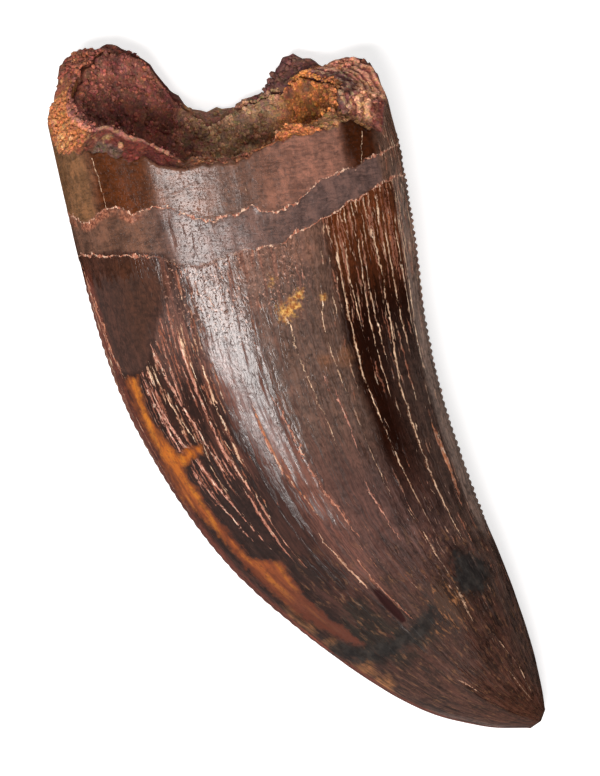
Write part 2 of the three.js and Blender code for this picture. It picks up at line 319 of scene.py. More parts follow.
# Faint rusty stains: x, y and radius.
RUSTY_SPOTS = [(4.7, 2.9, 0.9), (2.7, 2.4, 0.7)]
# Crumbly brown stains by the mesial edge near the tip: x, y and radius.
EDGE_STAINS = [
    (-0.9, -23.0, 0.7), (0.9, -24.6, 0.9), (3.2, -26.2, 1.0), (6.6, -28.2, 0.9), (8.6, -30.0, 0.9),
]

# Mineral-filled cracks of the face, from the mesial edge to the distal one: a colour, from 0 for cream
# through 1 for pink to 2 for orange, and points (along and across in thousandths, width in 0.01 mm).
FACE_CRACKS = [
    (1.4, [(262, 4, 0), (277, 8, 30), (310, 13, 35), (345, 21, 30), (375, 24, 30), (392, 34, 0)]),
    (1.0, [(390, 93, 10), (420, 92, 22), (510, 112, 22), (575, 150, 10)]),
    (1.0, [(400, 98, 0), (435, 106, 25), (463, 119, 24), (508, 148, 20), (553, 176, 15), (590, 193, 0)]),
    (0.4, [(147, 107, 10), (178, 115, 14), (211, 118, 10), (225, 120, 0), (290, 130, 0), (375, 125, 0),
           (385, 125, 10), (425, 141, 15), (456, 162, 15), (500, 180, 0)]),
    (0.9, [(360, 146, 10), (400, 164, 25), (431, 175, 20), (457, 189, 25), (487, 200, 15),
           (520, 210, 0)]),
    (1.2, [(520, 232, 0), (537, 238, 15), (579, 231, 20), (610, 235, 0)]),
    (0.9, [(350, 193, 0), (364, 198, 25), (417, 221, 28), (444, 232, 24), (480, 238, 30), (541, 260, 15),
           (584, 253, 10), (620, 260, 0)]),
    (0.3, [(330, 210, 0), (376, 243, 15), (394, 250, 15), (450, 255, 0)]),
    (0.6, [(380, 280, 0), (412, 284, 20), (433, 275, 15), (491, 276, 20), (520, 280, 0)]),
    (0.7, [(580, 385, 0), (594, 385, 15), (643, 400, 20), (660, 400, 0), (800, 380, 0), (812, 395, 16),
           (840, 409, 0)]),
    (1.6, [(440, 387, 0), (471, 383, 15), (510, 386, 15), (555, 419, 15), (580, 430, 0)]),
    (1.3, [(430, 460, 0), (465, 474, 20), (530, 482, 20), (573, 508, 20), (600, 520, 0), (620, 450, 0),
           (632, 450, 16), (651, 442, 16), (702, 453, 10), (730, 460, 0)]),
    (0.5, [(350, 566, 35), (378, 579, 30), (440, 595, 20), (482, 604, 20), (520, 600, 0), (600, 523, 0),
           (620, 522, 15), (650, 518, 0)]),
    (1.0, [(440, 664, 0), (453, 664, 14), (490, 667, 12), (520, 663, 0), (540, 636, 0), (560, 640, 20),
           (608, 650, 15), (620, 650, 0)]),
    (0.3, [(330, 694, 0), (341, 694, 20), (373, 680, 20), (436, 693, 20), (460, 700, 0), (550, 704, 15),
           (570, 700, 0)]),
    (0.2, [(340, 728, 0), (355, 727, 30), (370, 726, 0), (600, 748, 0), (630, 748, 25), (660, 744, 12),
           (685, 741, 10), (700, 735, 40), (715, 728, 45), (732, 716, 30), (750, 710, 0), (810, 723, 0),
           (856, 734, 12), (914, 757, 10), (930, 760, 0)]),
    (0.2, [(290, 763, 10), (317, 762, 30), (378, 767, 35), (432, 765, 30), (478, 776, 25), (538, 784, 20),
           (602, 791, 15), (620, 790, 0), (770, 775, 0), (806, 800, 16), (837, 830, 20), (920, 820, 0)]),
    (0.3, [(290, 784, 10), (321, 785, 20), (363, 795, 20), (400, 800, 0)]),
    (0.5, [(280, 834, 10), (328, 829, 15), (368, 827, 20), (445, 832, 15), (470, 830, 0)]),
    (0.1, [(310, 841, 0), (350, 842, 30), (401, 851, 20), (430, 855, 0)]),
    (0.5, [(157, 900, 12), (175, 890, 14), (193, 877, 10), (210, 875, 0), (270, 879, 0), (280, 879, 10),
           (335, 886, 25), (389, 889, 25), (449, 870, 20), (487, 872, 25), (549, 872, 25), (620, 877, 20),
           (640, 877, 0)]),
    (0.2, [(280, 914, 10), (343, 920, 30), (395, 928, 25), (420, 930, 0)]),
    (1.8, [(500, 935, 0), (515, 938, 70), (552, 948, 80), (585, 940, 0)]),
    (0.3, [(280, 945, 10), (317, 949, 20), (366, 955, 15), (400, 955, 0)]),
    (0.3, [(150, 962, 0), (170, 962, 0), (220, 962, 10), (300, 963, 20), (369, 965, 30), (418, 961, 30),
           (450, 965, 0)]),
]
# The same for the underside, which carries fewer of them.
BACK_CRACKS = [
    (0.9, [(360, 130, 0), (420, 140, 25), (520, 180, 25), (600, 200, 0)]),
    (0.6, [(300, 220, 0), (360, 230, 25), (480, 270, 30), (560, 280, 0)]),
    (0.3, [(270, 360, 0), (330, 360, 30), (460, 390, 20), (600, 410, 0), (660, 420, 20), (750, 440, 0)]),
    (1.2, [(400, 500, 0), (500, 520, 25), (580, 540, 0)]),
    (0.2, [(280, 630, 10), (340, 640, 35), (460, 650, 30), (560, 660, 0), (620, 660, 20), (700, 670, 0)]),
    (0.5, [(280, 740, 10), (360, 750, 25), (440, 760, 0)]),
    (0.3, [(280, 820, 10), (340, 830, 30), (500, 840, 20), (620, 850, 0)]),
    (0.2, [(280, 900, 10), (360, 910, 30), (460, 920, 20), (520, 930, 0)]),
]
CRACK_UNITS = (1000, 1000, 100)  # a whole tooth along and across, and a millimetre
LEAST_GAP = 0.004  # between two cracks, across


def crack_field(along, across, slope, cracks):
    """For each place: a number that is whole on the cracks and changes evenly between them, half the
    nearest crack's width in the same measure, and its colour. The slope is how far the skin reaches for
    each millimetre that shows in plan."""
    fence = np.zeros(len(along))
    tracks, widths = [fence], [fence]
    for _, points in cracks:
        places, sides, wide = (np.array(points) / CRACK_UNITS).T
        tracks.append(np.maximum(np.interp(along, places, sides), tracks[-1] + LEAST_GAP))
        widths.append(np.interp(along, places, wide, left=0, right=0))
    tracks = np.array(tracks + [np.maximum(fence + 1, tracks[-1] + LEAST_GAP)])
    widths = np.array(widths + [fence])
    tints = np.array([0] + [tint for tint, _ in cracks] + [0])
    below = np.clip((tracks <= across).sum(0) - 1, 0, len(tracks) - 2)
    places = np.arange(len(along))
    low, high = tracks[below, places], tracks[below + 1, places]
    number = below + np.clip((across - low) / (high - low), 0, 1)
    nearest = np.round(number).astype(int)
    _, half, _, _, _ = section(along)
    gap = (high - low) * 2 * np.linalg.norm(half, axis=-1) * slope
    return number, widths[nearest, places] / 2 / gap, tints[nearest]


# ---------------------------------------------------------------------------
# Mesh of the tooth
# ---------------------------------------------------------------------------

FACE_COLUMNS = 250
BACK_COLUMNS = 150
ROWS_TO_ENAMEL = 60
ENAMEL_ROWS = 126
ENAMEL_FROM = 0.32
BROKEN_ROWS = 26
CAVITY_ROWS = 7
EDGE_REACH = 5.0  # degrees either side of a cutting edge that carry denticles
EDGE_FINENESS = 4

CAVITY, BROKEN, OUTSIDE = 0, 1, 2


def column_angles():
    """Angles of the columns: even on the face, closer together by the cutting edges on the back."""
    step = np.arange(BACK_COLUMNS) / BACK_COLUMNS
    back = 180 + 180 * (step - 0.55 * np.sin(2 * np.pi * step) / (2 * np.pi))
    return np.concatenate([np.arange(FACE_COLUMNS) * 180 / FACE_COLUMNS, back])


def row_numbers(angle):
    """Rows of one column. Columns by a cutting edge have extra rows where it is serrated."""
    rows = np.arange(ROWS_TO_ENAMEL + ENAMEL_ROWS, dtype=float)
    by_mesial = abs(angle - 180) < EDGE_REACH
    by_distal = min(angle, 360 - angle) < EDGE_REACH
    if not (by_mesial or by_distal):
        return rows
    start, end = (MESIAL_DENTICLES if by_mesial else DISTAL_DENTICLES)[:2]
    fine = np.arange(0, rows[-1], 1 / EDGE_FINENESS)
    serrated = (even_place(fine) > start - 0.01) & (even_place(fine) < end + 0.01)
    return np.union1d(rows, fine[serrated])


def even_place(row):
    """Place along the tooth of a row, if the rim were even."""
    return np.interp(row, [0, ROWS_TO_ENAMEL, ROWS_TO_ENAMEL + ENAMEL_ROWS], [EVEN_RIM, ENAMEL_FROM, 1])


def tooth_points():
    """All points of the tooth column by column: row number, region, place along or across, angle."""
    lines = []
    for angle in column_angles():
        cavity = np.arange(CAVITY_ROWS) / CAVITY_ROWS
        broken = np.arange(BROKEN_ROWS) / BROKEN_ROWS
        rows = row_numbers(angle)
        number = np.concatenate([np.arange(CAVITY_ROWS + BROKEN_ROWS), rows + CAVITY_ROWS + BROKEN_ROWS])
        region = np.repeat([CAVITY, BROKEN, OUTSIDE], [CAVITY_ROWS, BROKEN_ROWS, len(rows)])
        place = np.concatenate([cavity, broken, rows])
        lines.append(np.stack([number, region, place, np.full(len(number), angle)], -1))
    return lines


def join_columns(numbers, first_pole, last_pole):
    """Faces between neighbouring columns, zipped together by their row numbers, and round the poles."""
    starts = np.concatenate([[0], np.cumsum([len(n) for n in numbers])])
    faces = []
    for column, ours in enumerate(numbers):
        other = (column + 1) % len(numbers)
        theirs = numbers[other]
        p, q = int(starts[column]), int(starts[other])
        faces.append((first_pole, q, p))
        if len(ours) == len(theirs):
            faces += [(p + k, q + k, q + k + 1, p + k + 1) for k in range(len(ours) - 1)]
        else:
            a = b = 0
            while a < len(ours) - 1 or b < len(theirs) - 1:
                middle_a = ours[a] + ours[a + 1] if a < len(ours) - 1 else math.inf
                middle_b = theirs[b] + theirs[b + 1] if b < len(theirs) - 1 else math.inf
                if middle_a <= middle_b:
                    faces.append((p + a, q + b, p + a + 1))
                    a += 1
                else:
                    faces.append((p + a, q + b, q + b + 1))
                    b += 1
        faces.append((last_pole, p + len(ours) - 1, q + len(theirs) - 1))
    return faces


def denticle_relief(along, angle):
    """Outward steps of the denticles on the two cutting edges."""
    relief = np.zeros(len(along))
    for (start, end, pitch, depth), stretch, aside in (
        (DISTAL_DENTICLES, DISTAL_STRETCH, np.minimum(angle, 360 - angle)),
        (MESIAL_DENTICLES, MESIAL_STRETCH, np.abs(angle - 180)),
    ):
        phase = along * LENGTH * stretch / pitch
        worn = 0.75 + 0.2 * scatter(np.stack([np.floor(phase + 0.5), phase * 0, phase * 0], -1))
        crown = np.abs(np.cos(np.pi * phase)) * worn - 0.3
        present = smooth(start - 0.004, start + 0.01, along) * smooth(end + 0.004, end - 0.03, along)
        reach = smooth(EDGE_REACH, 0.2 * EDGE_REACH, aside)
        relief += depth * crown * present * reach
    return relief


def build_mesh(name, points, faces):
    """A piece from points in millimetres."""
    mesh = bpy.data.meshes.new(name)
    mesh.from_pydata((np.asarray(points) * MM).tolist(), [], faces)
    mesh.validate()
    mesh.shade_smooth()
    piece = bpy.data.objects.new(name, mesh)
    bpy.context.scene.collection.objects.link(piece)
    return piece


def mesh_normals(mesh):
    normals = np.zeros(len(mesh.vertices) * 3)
    mesh.vertex_normals.foreach_get("vector", normals)
    return normals.reshape(-1, 3)


def add_measure(mesh, name, values):
    """Keeps a number or three numbers for every point."""
    kind, member = ("FLOAT", "value") if values.ndim == 1 else ("FLOAT_VECTOR", "vector")
    layer = mesh.attributes.new(name, kind, "POINT")
    layer.data.foreach_set(member, np.ascontiguousarray(values, np.float32).ravel())


def add_tone(mesh, values):
    """Keeps a colour for every point."""
    layer = mesh.attributes.new("tone", "FLOAT_COLOR", "POINT")
    rgba = np.concatenate([values, np.ones((len(values), 1))], 1)
    layer.data.foreach_set("color", np.ascontiguousarray(rgba, np.float32).ravel())


def linear(colour):
    """Linear values of a colour given as 0 to 255 numbers."""
    level = np.asarray(colour, float) / 255
    return np.where(level <= 0.04045, level / 12.92, ((level + 0.055) / 1.055) ** 2.4)


def paint(canvas, *layers):
    """Lays (colour, amount) after (colour, amount) over the canvas."""
    for colour, amount in layers:
        canvas += (linear(colour) - canvas) * np.clip(amount, 0, 1)[:, None]


def signed_over(line, spots):
    """Height over a line that runs from left to right, measured square to it."""
    line = np.asarray(line, float)
    slope = np.gradient(line[:, 1], line[:, 0])
    lift = spots[:, 1] - np.interp(spots[:, 0], line[:, 0], line[:, 1])
    return lift * np.cos(np.arctan(np.interp(spots[:, 0], line[:, 0], slope) * 0.5))


def build_tooth():
    """The tooth as one closed skin: its cavity, its broken end and its outside, column by column."""
    lines = tooth_points()
    number, region, place, angle = np.concatenate(lines).T
    region = region.astype(int)
    outer = read_rim(OUTER_RIM, angle, OUTER_SEED)
    inner = read_rim(INNER_RIM, angle, INNER_SEED)
    even = even_place(place)
    along = even + (outer - EVEN_RIM) * np.maximum(0, 1 - (even - EVEN_RIM) / RIM_REACH) ** 2

    climb = np.sin((place + 1 / CAVITY_ROWS) * np.pi / 2)
    depth = CAVITY_END + (inner - CAVITY_END) * (1 - np.sqrt(np.maximum(0, 1 - climb**2)))
    wall = cavity_wall(np.where(region == CAVITY, depth, inner), angle, 0, CAVITY_END)
    rim = outside(outer, angle)
    edge = cavity_wall(inner, angle, 0, CAVITY_END)
    broken = edge + (rim - edge) * ((place + 1 / BROKEN_ROWS) * BROKEN_ROWS / (BROKEN_ROWS + 1))[:, None]
    skin = outside(along, angle)
    base = np.where((region == CAVITY)[:, None], wall, np.where((region == BROKEN)[:, None], broken, skin))

    tip_centre, tip_half, _, tip_edge, _ = section(np.array(1.0))
    onward = np.array([tip_half[1], -tip_half[0]]) / np.linalg.norm(tip_half) * TIP_BULGE
    poles = [cavity_wall(np.array(CAVITY_END), np.array(0.0), 0, CAVITY_END),
             np.array([*(tip_centre + onward), tip_edge])]
    points = np.concatenate([base, poles])
    faces = join_columns([line[:, 0] for line in lines], len(base), len(base) + 1)
    piece = build_mesh("fossil_tooth", points, faces)
    normals = mesh_normals(piece.data)

    along = np.append(np.where(region == OUTSIDE, along, outer), [CAVITY_END, 1.0])
    angle = np.append(angle, [0, 0])
    region = np.append(region, [CAVITY, OUTSIDE])
    place = np.append(place, [0, 0])
    relief, tone, measures = tooth_looks(points, normals, along, angle, region, place)
    points = points + normals * relief[:, None]
    points[:, 2] = np.maximum(points[:, 2], 0)
    piece.data.vertices.foreach_set("co", (points * MM).ravel())
    add_tone(piece.data, tone)
    for name, values in measures.items():
        add_measure(piece.data, name, values)
    add_grid_uv(piece.data, angle, number)
    region_of_face = np.array([min(region[i] for i in face) for face in faces])
    piece.data.polygons.foreach_set("material_index", (region_of_face != OUTSIDE).astype(np.int32))
    piece.data.update()
    return piece


def add_grid_uv(mesh, angle, number):
    """A map for baking: the face, the back and the broken end, unrolled by angle and row."""
    layer = mesh.uv_layers.new(name="OFBake")
    u = np.append(angle[:-2], [0, 0]) / 360
    v = np.append(number, [0, number.max()]) / number.max()
    corner = np.zeros(len(mesh.loops), np.int32)
    mesh.loops.foreach_get("vertex_index", corner)
    coords = np.stack([u[corner], v[corner]], -1)
    starts = np.zeros(len(mesh.polygons), np.int32)
    counts = np.zeros(len(mesh.polygons), np.int32)
    mesh.polygons.foreach_get("loop_start", starts)
    mesh.polygons.foreach_get("loop_total", counts)
    for start, count in zip(starts, counts):
        face = coords[start:start + count]
        if face[:, 0].max() - face[:, 0].min() > 0.5:
            face[face[:, 0] < 0.5, 0] += 1
    coords[:, 0] *= 1 - 2 / (FACE_COLUMNS + BACK_COLUMNS)
    layer.data.foreach_set("uv", coords.astype(np.float32).ravel())


def skin_places(points, along, angle):
    """Where every point is on the skin, the noises that its looks share, and how far it is over the
    ragged lines and inside the patches of the face."""
    spots = points[:, :2]
    across = (1 + np.cos(np.radians(angle))) / 2
    face = angle < 180
    wobble = rough_noise(points, 3.0, 1)
    jitter = rough_noise(points, 0.9, 2)
    girth = round_the_skin(angle)
    streak_place = np.stack([along * LENGTH / 9, girth, face * FACE_APART], -1)
    fine_streak = rough_noise(streak_place, 0.55, 8)

    # Heights over the two ragged lines; on the back they run straight round.
    back_place = np.stack([across * WIDTH, 0 * across, 0 * across], -1)
    back_jag = 4 * across * (1 - across) * rough_noise(back_place, 5.0, 11)
    over_root = np.where(face, signed_over(ROOT_LINE, spots),
                         (BACK_ROOT_LINE - 0.02 * across + 0.02 * back_jag - along) * LENGTH)
    over_enamel = np.where(face, signed_over(ENAMEL_LINE, spots),
                           (BACK_ENAMEL_LINE - 0.03 * across + 0.03 * back_jag - along) * LENGTH)
    over_root += 0.25 * jitter
    over_enamel += 0.25 * jitter
    enamel = smooth(0.15, -0.15, over_enamel)
    collar = smooth(0.12, -0.12, over_root) * (1 - enamel)
    uneven = across + 0.014 * wobble + 0.01 * fine_streak
    crust = band(over_root, -1.1, -0.7, -0.2, 0.1) * smooth(0.24, 0.18, across) * face
    crust *= smooth(-0.6, 0.2, rough_noise(points, 1.1, 63))

    return SimpleNamespace(
        points=points, spots=spots, along=along, across=across, face=face, girth=girth,
        wobble=wobble, jitter=jitter, uneven=uneven, fine_streak=fine_streak,
        streak=rough_noise(streak_place, 1.3, 5),
        over_root=over_root, over_enamel=over_enamel,
        root=1 - enamel - collar, collar=collar, enamel=enamel,
        strip=smooth(0.925, 0.95, uneven) * smooth(0.3, 0.26, along) * face,
        crust=crust,
        ochre=np.where(face & (along > OCHRE_FROM), inside(spots, OCHRE) + 0.18 * jitter, FAR),
        patch=np.where(face, inside(spots, DARK_PATCH), FAR) + 0.2 * jitter,
        gunk=np.where(face, GUNK_REACH - near_line(spots, GUNK), FAR) + 0.25 * jitter,
        lens=np.where(
            face, np.maximum(inside(spots, LENS), CREVICE_REACH - near_line(spots, CREVICE)), FAR),
        black=np.where(face, inside(spots, BLACK_PATCH), FAR) + 0.3 * jitter,
    )


def paint_root(canvas, at):
    """The bare root and the thin collar beyond it."""
    across, root, collar, uneven = at.across, at.root, at.collar, at.uneven
    # Root: olive brown by the mesial edge, golden, then grey-pink, dark and lined by the distal edge.
    paint(
        canvas,
        ((112, 78, 62), root),
        ((134, 96, 64), root * smooth(0.11, 0.06, uneven)),
        ((92, 48, 20), root * band(uneven, 0.07, 0.12, 0.22, 0.3)),
        ((150, 106, 90), root * smooth(0.5, 0.7, uneven)),
        ((66, 30, 8), root * smooth(0.82, 0.86, uneven)),
    )
    # Collar.
    paint(
        canvas,
        ((110, 84, 76), collar),
        ((116, 84, 68), collar * smooth(0.3, 0.2, across)),
        ((112, 88, 82), collar * smooth(0.55, 0.72, across)),
        ((112, 84, 70), at.strip),
    )


def paint_enamel(canvas, at):
    """The enamel from the collar on: lighter and greyer in the middle of the face, near black beside the
    distal cracks."""
    along, across, wobble, patch, enamel = at.along, at.across, at.wobble, at.patch, at.enamel
    high = smooth(0.42, 0.3, along)
    paint(
        canvas,
        ((108, 74, 60), enamel * high * smooth(0.27, 0.33, across)),
        ((106, 82, 71), enamel * smooth(0.4, 0.52, across) * smooth(0.62, 0.45, along)),
        ((90, 67, 62), enamel * smooth(0.45, 0.6, along) * smooth(0.3, 0.45, across)),
        ((36, 14, 6), enamel * smooth(0.715, 0.765, across + 0.01 * wobble) * smooth(0.64, 0.5, along)),
        ((112, 60, 32), 0.8 * enamel * smooth(0.37, 0.27, along) * smooth(0.7, 0.78, across)),
    )
    fan = band(across, 0.13, 0.17, 0.26, 0.32) * smooth(0.43, 0.34, along + 0.02 * wobble)
    paint(
        canvas,
        ((108, 80, 72), 0.8 * enamel * fan),
        ((78, 50, 40), smooth(-0.12, 0.12, patch)),
        ((76, 46, 30), 0.6 * smooth(0.0, 1.5, patch) * smooth(0.06, 0.14, across + 0.02 * wobble)),
    )
    stained = inside_rounds(at.spots, RUSTY_SPOTS) + 0.6 * at.jitter
    paint(canvas, ((150, 98, 62), 0.4 * at.face * smooth(-0.3, 0.5, stained)))


def paint_tip(canvas, at):
    """The darker end of the tooth with its stains, a band of painted sheen before it, grey bands along
    the cutting edges that are partly painted sheen, and the reddish strip of the mesial one."""
    spots, along, across, face, jitter, enamel = at.spots, at.along, at.across, at.face, at.jitter, at.enamel
    paint(canvas, ((48, 31, 27), enamel * smooth(0.43, 0.52, along) * smooth(0.42, 0.3, across)))
    # A band of painted sheen: lighter colours laid along the line where the highlight runs down the crown.
    painted_sheen_track = np.interp(along, (0.36, 0.44, 0.53, 0.58), (0.33, 0.366, 0.45, 0.51))
    painted_sheen = np.exp(-((across - painted_sheen_track) / 0.05) ** 2) * band(along, 0.34, 0.4, 0.54, 0.62)
    paint(
        canvas,
        ((158, 126, 120), 0.5 * painted_sheen * face * smooth(0.54, 0.46, along)),
        ((140, 102, 90), 0.5 * painted_sheen * face * smooth(0.46, 0.54, along)),
    )
    mottled = enamel * smooth(-5.5, -1.5, at.over_enamel) * band(across, 0.42, 0.5, 0.68, 0.74)
    paint(
        canvas,
        ((150, 108, 90), 0.5 * mottled),
        ((68, 49, 43), enamel * smooth(0.61, 0.69, along) * smooth(0.36, 0.45, across)),
        ((76, 52, 44), enamel * smooth(0.71, 0.79, along)),
        # A grey band along the mesial edge near the tip: painted sheen.
        ((104, 84, 78), enamel * smooth(0.1, 0.05, across) * band(along, 0.8, 0.86, 0.93, 0.97)),
    )
    crumbly = inside_rounds(spots, EDGE_STAINS) + 0.8 * jitter
    tarnish = inside(spots, TARNISH) + 0.7 * jitter
    shade = inside(spots, SHADE) + 0.7 * jitter
    paint(
        canvas,
        ((160, 108, 64), 0.75 * face * smooth(-0.5, 0.5, crumbly)),
        ((42, 38, 32), 0.85 * face * smooth(-0.9, 0.6, tarnish)),
        ((28, 20, 17), 0.85 * face * smooth(-1.2, 1.0, shade)),
        ((76, 47, 36), enamel * smooth(0.82, 0.92, along) * smooth(0.1, 0.2, across)),
        ((72, 56, 50), enamel * band(along, 0.35, 0.45, 0.88, 0.95) * smooth(0.8, 0.93, across)),
        # A grey band along the distal edge: partly the edge's own greyer colour, partly painted sheen on the
        # steep edge.
        ((136, 116, 106), smooth(0.952, 0.972, across) * band(along, 0.18, 0.24, 0.6, 0.66)),
        ((112, 54, 38), enamel * smooth(0.035, 0.012, across) * smooth(0.26, 0.3, along)),
    )


def gloss_loss(at):
    """Where streaks of the gloss have worn off, and where the skin is evenly dull."""
    along, across, enamel = at.along, at.across, at.enamel
    worn = enamel * band(across, 0.2, 0.27, 0.6, 0.72) * smooth(0.72, 0.6, along)
    worn *= 1 - 0.6 * smooth(0.45, 0.52, across) * smooth(0.33, 0.37, along)
    worn *= 1 - 0.8 * smooth(0.47, 0.54, along) * smooth(0.43, 0.34, across)
    matt = np.maximum(
        enamel * smooth(0.36, 0.255, across - 0.13 * (along - 0.36)) * smooth(0.27, 0.31, along),
        0.9 * smooth(0.5, 0.59, along + 0.05 * at.wobble) * smooth(0.7, 0.55, across)
        * smooth(0.85, 0.75, along))
    middle = band(across, 0.4, 0.5, 0.64, 0.74) * smooth(0.7, 0.6, along)
    return worn, np.maximum(matt, enamel * middle * (0.4 + 0.4 * smooth(0.42, 0.5, along)))


def lined_share(at, ochre_level):
    """How thickly each place is lined with fine mineral, from 0 to 1."""
    along, across, enamel = at.along, at.across, at.enamel
    fringe = smooth(0.7, 0.76, across) * smooth(0.4, 0.27, along) + 0.4 * smooth(0.6, 0.75, across)
    lined = enamel * (0.35 + 0.55 * smooth(0.37, 0.26, across) * smooth(0.25, 0.29, along) + 0.55 * fringe)
    lined = np.maximum(lined, 0.85 * at.strip)
    lined = np.clip(lined * (1 - smooth(-0.2, 0.2, at.patch)) * (1 - 0.6 * ochre_level), 0, 1)
    lined *= 0.3 + 0.7 * smooth(0.85, 0.68, along)
    return lined * (1 - 0.8 * smooth(0.49, 0.57, along) * smooth(0.5, 0.35, across))


def skin_relief(at, number):
    """Outward steps of the skin: unevenness, plates between the cracks, the lines and patches of the
    face, and two broad swells."""
    along, across, face, jitter, enamel = at.along, at.across, at.face, at.jitter, at.enamel
    ridge = smooth(0.45, 0.0, np.abs(at.over_root)) + 0.7 * smooth(0.35, 0.0, np.abs(at.over_enamel))
    plate = np.floor(number)
    level = scatter(np.stack([plate, face * 3.0, 0 * plate], -1))
    relief = 0.12 * rough_noise(at.points, 7.0, 21) + 0.02 * at.streak + 0.02 * at.fine_streak
    relief += 0.05 * ridge * (1 + jitter) + 0.14 * at.crust * (0.4 + jitter)
    relief -= 0.08 * enamel + 0.04 * at.collar
    relief += 0.03 * level * enamel * smooth(0.75, 0.65, along)
    relief -= 0.14 * smooth(-0.4, 0.4, at.ochre) * (1 + 0.5 * jitter)
    relief += smooth(-0.3, 0.3, at.gunk) * (0.06 + 0.14 * rough_noise(at.points, 1.3, 25))
    relief -= 0.35 * smooth(-0.1, 0.5, at.lens)
    fold = (across - 0.275 - 0.13 * (along - 0.16) + 0.012 * at.wobble) * WIDTH
    fold_side = np.where(fold < 0, 1.2, 9.0)
    relief += 0.3 * np.exp(-(fold / fold_side) ** 2) * smooth(0.56, 0.26, along) * face
    swell = np.exp(-((across - 0.52) / 0.13) ** 2) * band(along, 0.27, 0.36, 0.55, 0.68)
    relief += 0.24 * swell * face
    return relief * band(along, 0.0, 0.01, 0.985, 1.0)


def tooth_looks(points, normals, along, angle, region, place):
    """Relief, colour and the measures that the material reads, for every point of the tooth."""
    at = skin_places(points, along, angle)
    off_skin = region != OUTSIDE
    canvas = np.tile(linear(GROUND), (len(points), 1))
    for paint_part in (paint_root, paint_enamel, paint_tip):
        paint_part(canvas, at)
    canvas *= ENAMEL_ALBEDO
    broken_place = np.where(region == BROKEN, place, 0)[off_skin]
    canvas[off_skin] = broken_tone(points[off_skin], angle[off_skin], broken_place)

    slope = np.minimum(1 / np.maximum(np.abs(normals[:, 2]), 0.01), 5) ** 0.7
    number, width, tint = np.where(at.face, crack_field(along, at.across, slope, FACE_CRACKS),
                                   crack_field(along, at.across, slope, BACK_CRACKS))
    relief = skin_relief(at, number) + denticle_relief(along, angle)
    relief[off_skin] = broken_relief(
        points[off_skin], angle[off_skin], place[off_skin], region[off_skin])

    ochre_level = smooth(-0.12, 0.12, at.ochre)
    dull = np.clip(ochre_level + at.crust, 0, 1)
    yellow = np.where(at.face, inside_rounds(at.spots, YELLOW_SPOTS), FAR)
    rust = np.where(at.face, inside(at.spots, RUST), FAR)
    worn, matt = gloss_loss(at)
    return relief, canvas, {
        "flow": np.stack([along * LENGTH, at.girth, at.face * FACE_APART], -1),
        "crack": np.stack([number, width * ~off_skin, tint], -1),
        "finish": np.stack([dull, lined_share(at, ochre_level), (1 - at.enamel) * (1 - at.strip)], -1),
        "zones": np.stack([at.over_root, at.over_enamel, at.crust], -1),
        "patches": np.stack([at.ochre, np.maximum(at.gunk + 0.1, at.black + 0.3), at.lens], -1),
        "stains": np.stack([yellow, rust, worn], -1),
        "matt": matt,
    }


def on_block(angle):
    """1 on the block of layered dentine at the distal side, 0 away from it."""
    return np.maximum(smooth(318, 324, angle), smooth(26, 20, angle))


def broken_tone(points, angle, place):
    """Colours of the broken face, by where it is round the rim and from its inner edge to its outer."""
    tone = np.tile(linear((120, 66, 44)), (len(points), 1))
    grit = rough_noise(points, 0.8, 31)
    blotch = rough_noise(points, 2.4, 32)
    block = on_block(angle)
    paint(
        tone,
        ((190, 116, 66), band(angle, 146, 156, 205, 236)),
        ((150, 84, 60), band(angle, 196, 208, 240, 275)),
        ((104, 44, 34), band(angle, 224, 246, 276, 290)),
        ((122, 50, 38), band(angle, 106, 112, 138, 146)),
        ((120, 90, 74), band(angle, 127, 130, 140, 143) * smooth(0.5, 0.6, place + 0.15 * blotch)),
        ((196, 128, 106), band(angle, 104, 112, 170, 180) * smooth(0.2, 0.08, place)),
        ((150, 92, 60), band(angle, 76, 84, 100, 112)),
        ((206, 124, 70), band(angle, 52, 56, 76, 82)),
        ((176, 124, 78), band(angle, 24, 30, 50, 54)),
        ((164, 116, 90), band(angle, 256, 264, 284, 290)),
        ((108, 66, 58), band(angle, 284, 291, 315, 320)),
        ((204, 128, 52), band(angle + 4 * blotch, 309, 314, 325, 331)),
        ((206, 132, 104), block),
        ((124, 84, 74), block * smooth(0.34, 0.2, place + 0.1 * blotch)),
    )
    by_distal = (angle + 5 * blotch + 180) % 360 + 180
    bright = smooth(352, 358, by_distal) * smooth(0.3, 0.4, place + 0.15 * blotch)
    splits = split_lines(points, place)
    paint(
        tone,
        ((250, 180, 136), bright * block),
        ((226, 178, 120), 0.7 * smooth(0.3, 0.7, grit) * band(angle, 100, 160, 230, 330)),
        ((96, 44, 32), 0.6 * smooth(0.2, 0.8, blotch) * (1 - 0.7 * block)),
        ((104, 48, 34), 0.8 * block * smooth(0.2, 0.7, splits + 0.5 * grit)),
        ((250, 196, 156), 0.5 * block * smooth(0.5, 0.9, 0.3 * grit - splits)),
    )
    crimson = band(angle, 2, 9, 20, 30) * smooth(0.6, 0.8, place + 0.2 * blotch + 0.1 * grit)
    paint(tone, ((108, 38, 34), 0.9 * crimson))
    return tone


def split_lines(points, place):
    """Layers that follow the broken wall round its distal side, from -1 to 1."""
    return np.sin(2 * np.pi * (5.6 * place + 1.2 * rough_noise(points, 1.7, 46)))


def broken_relief(points, angle, place, region):
    """Grains and lumps of the broken face, and the layers that split along the wall on its distal side."""
    grains, _ = pebbles(points, 0.62, 4)
    lumps = 0.42 * rough_noise(points, 1.7, 41) + 0.2 * (grains - 0.5)
    layers = 0.26 * np.abs((place * 5 + 0.7 * noise(points, 2.0, 44)) % 1 - 0.5)
    layered = band(angle, 50, 54, 76, 82)
    splits = on_block(angle) * (0.1 - 0.07 * split_lines(points, place))
    horn = band(angle, 284, 291, 314, 320)
    lumps = lumps + horn * (0.5 * rough_noise(points, 1.1, 47) + 0.1)
    return (lumps * (1 - 0.5 * layered) + layered * layers + splits) * (region == BROKEN)


# ---------------------------------------------------------------------------
# Sand in the root end
# ---------------------------------------------------------------------------

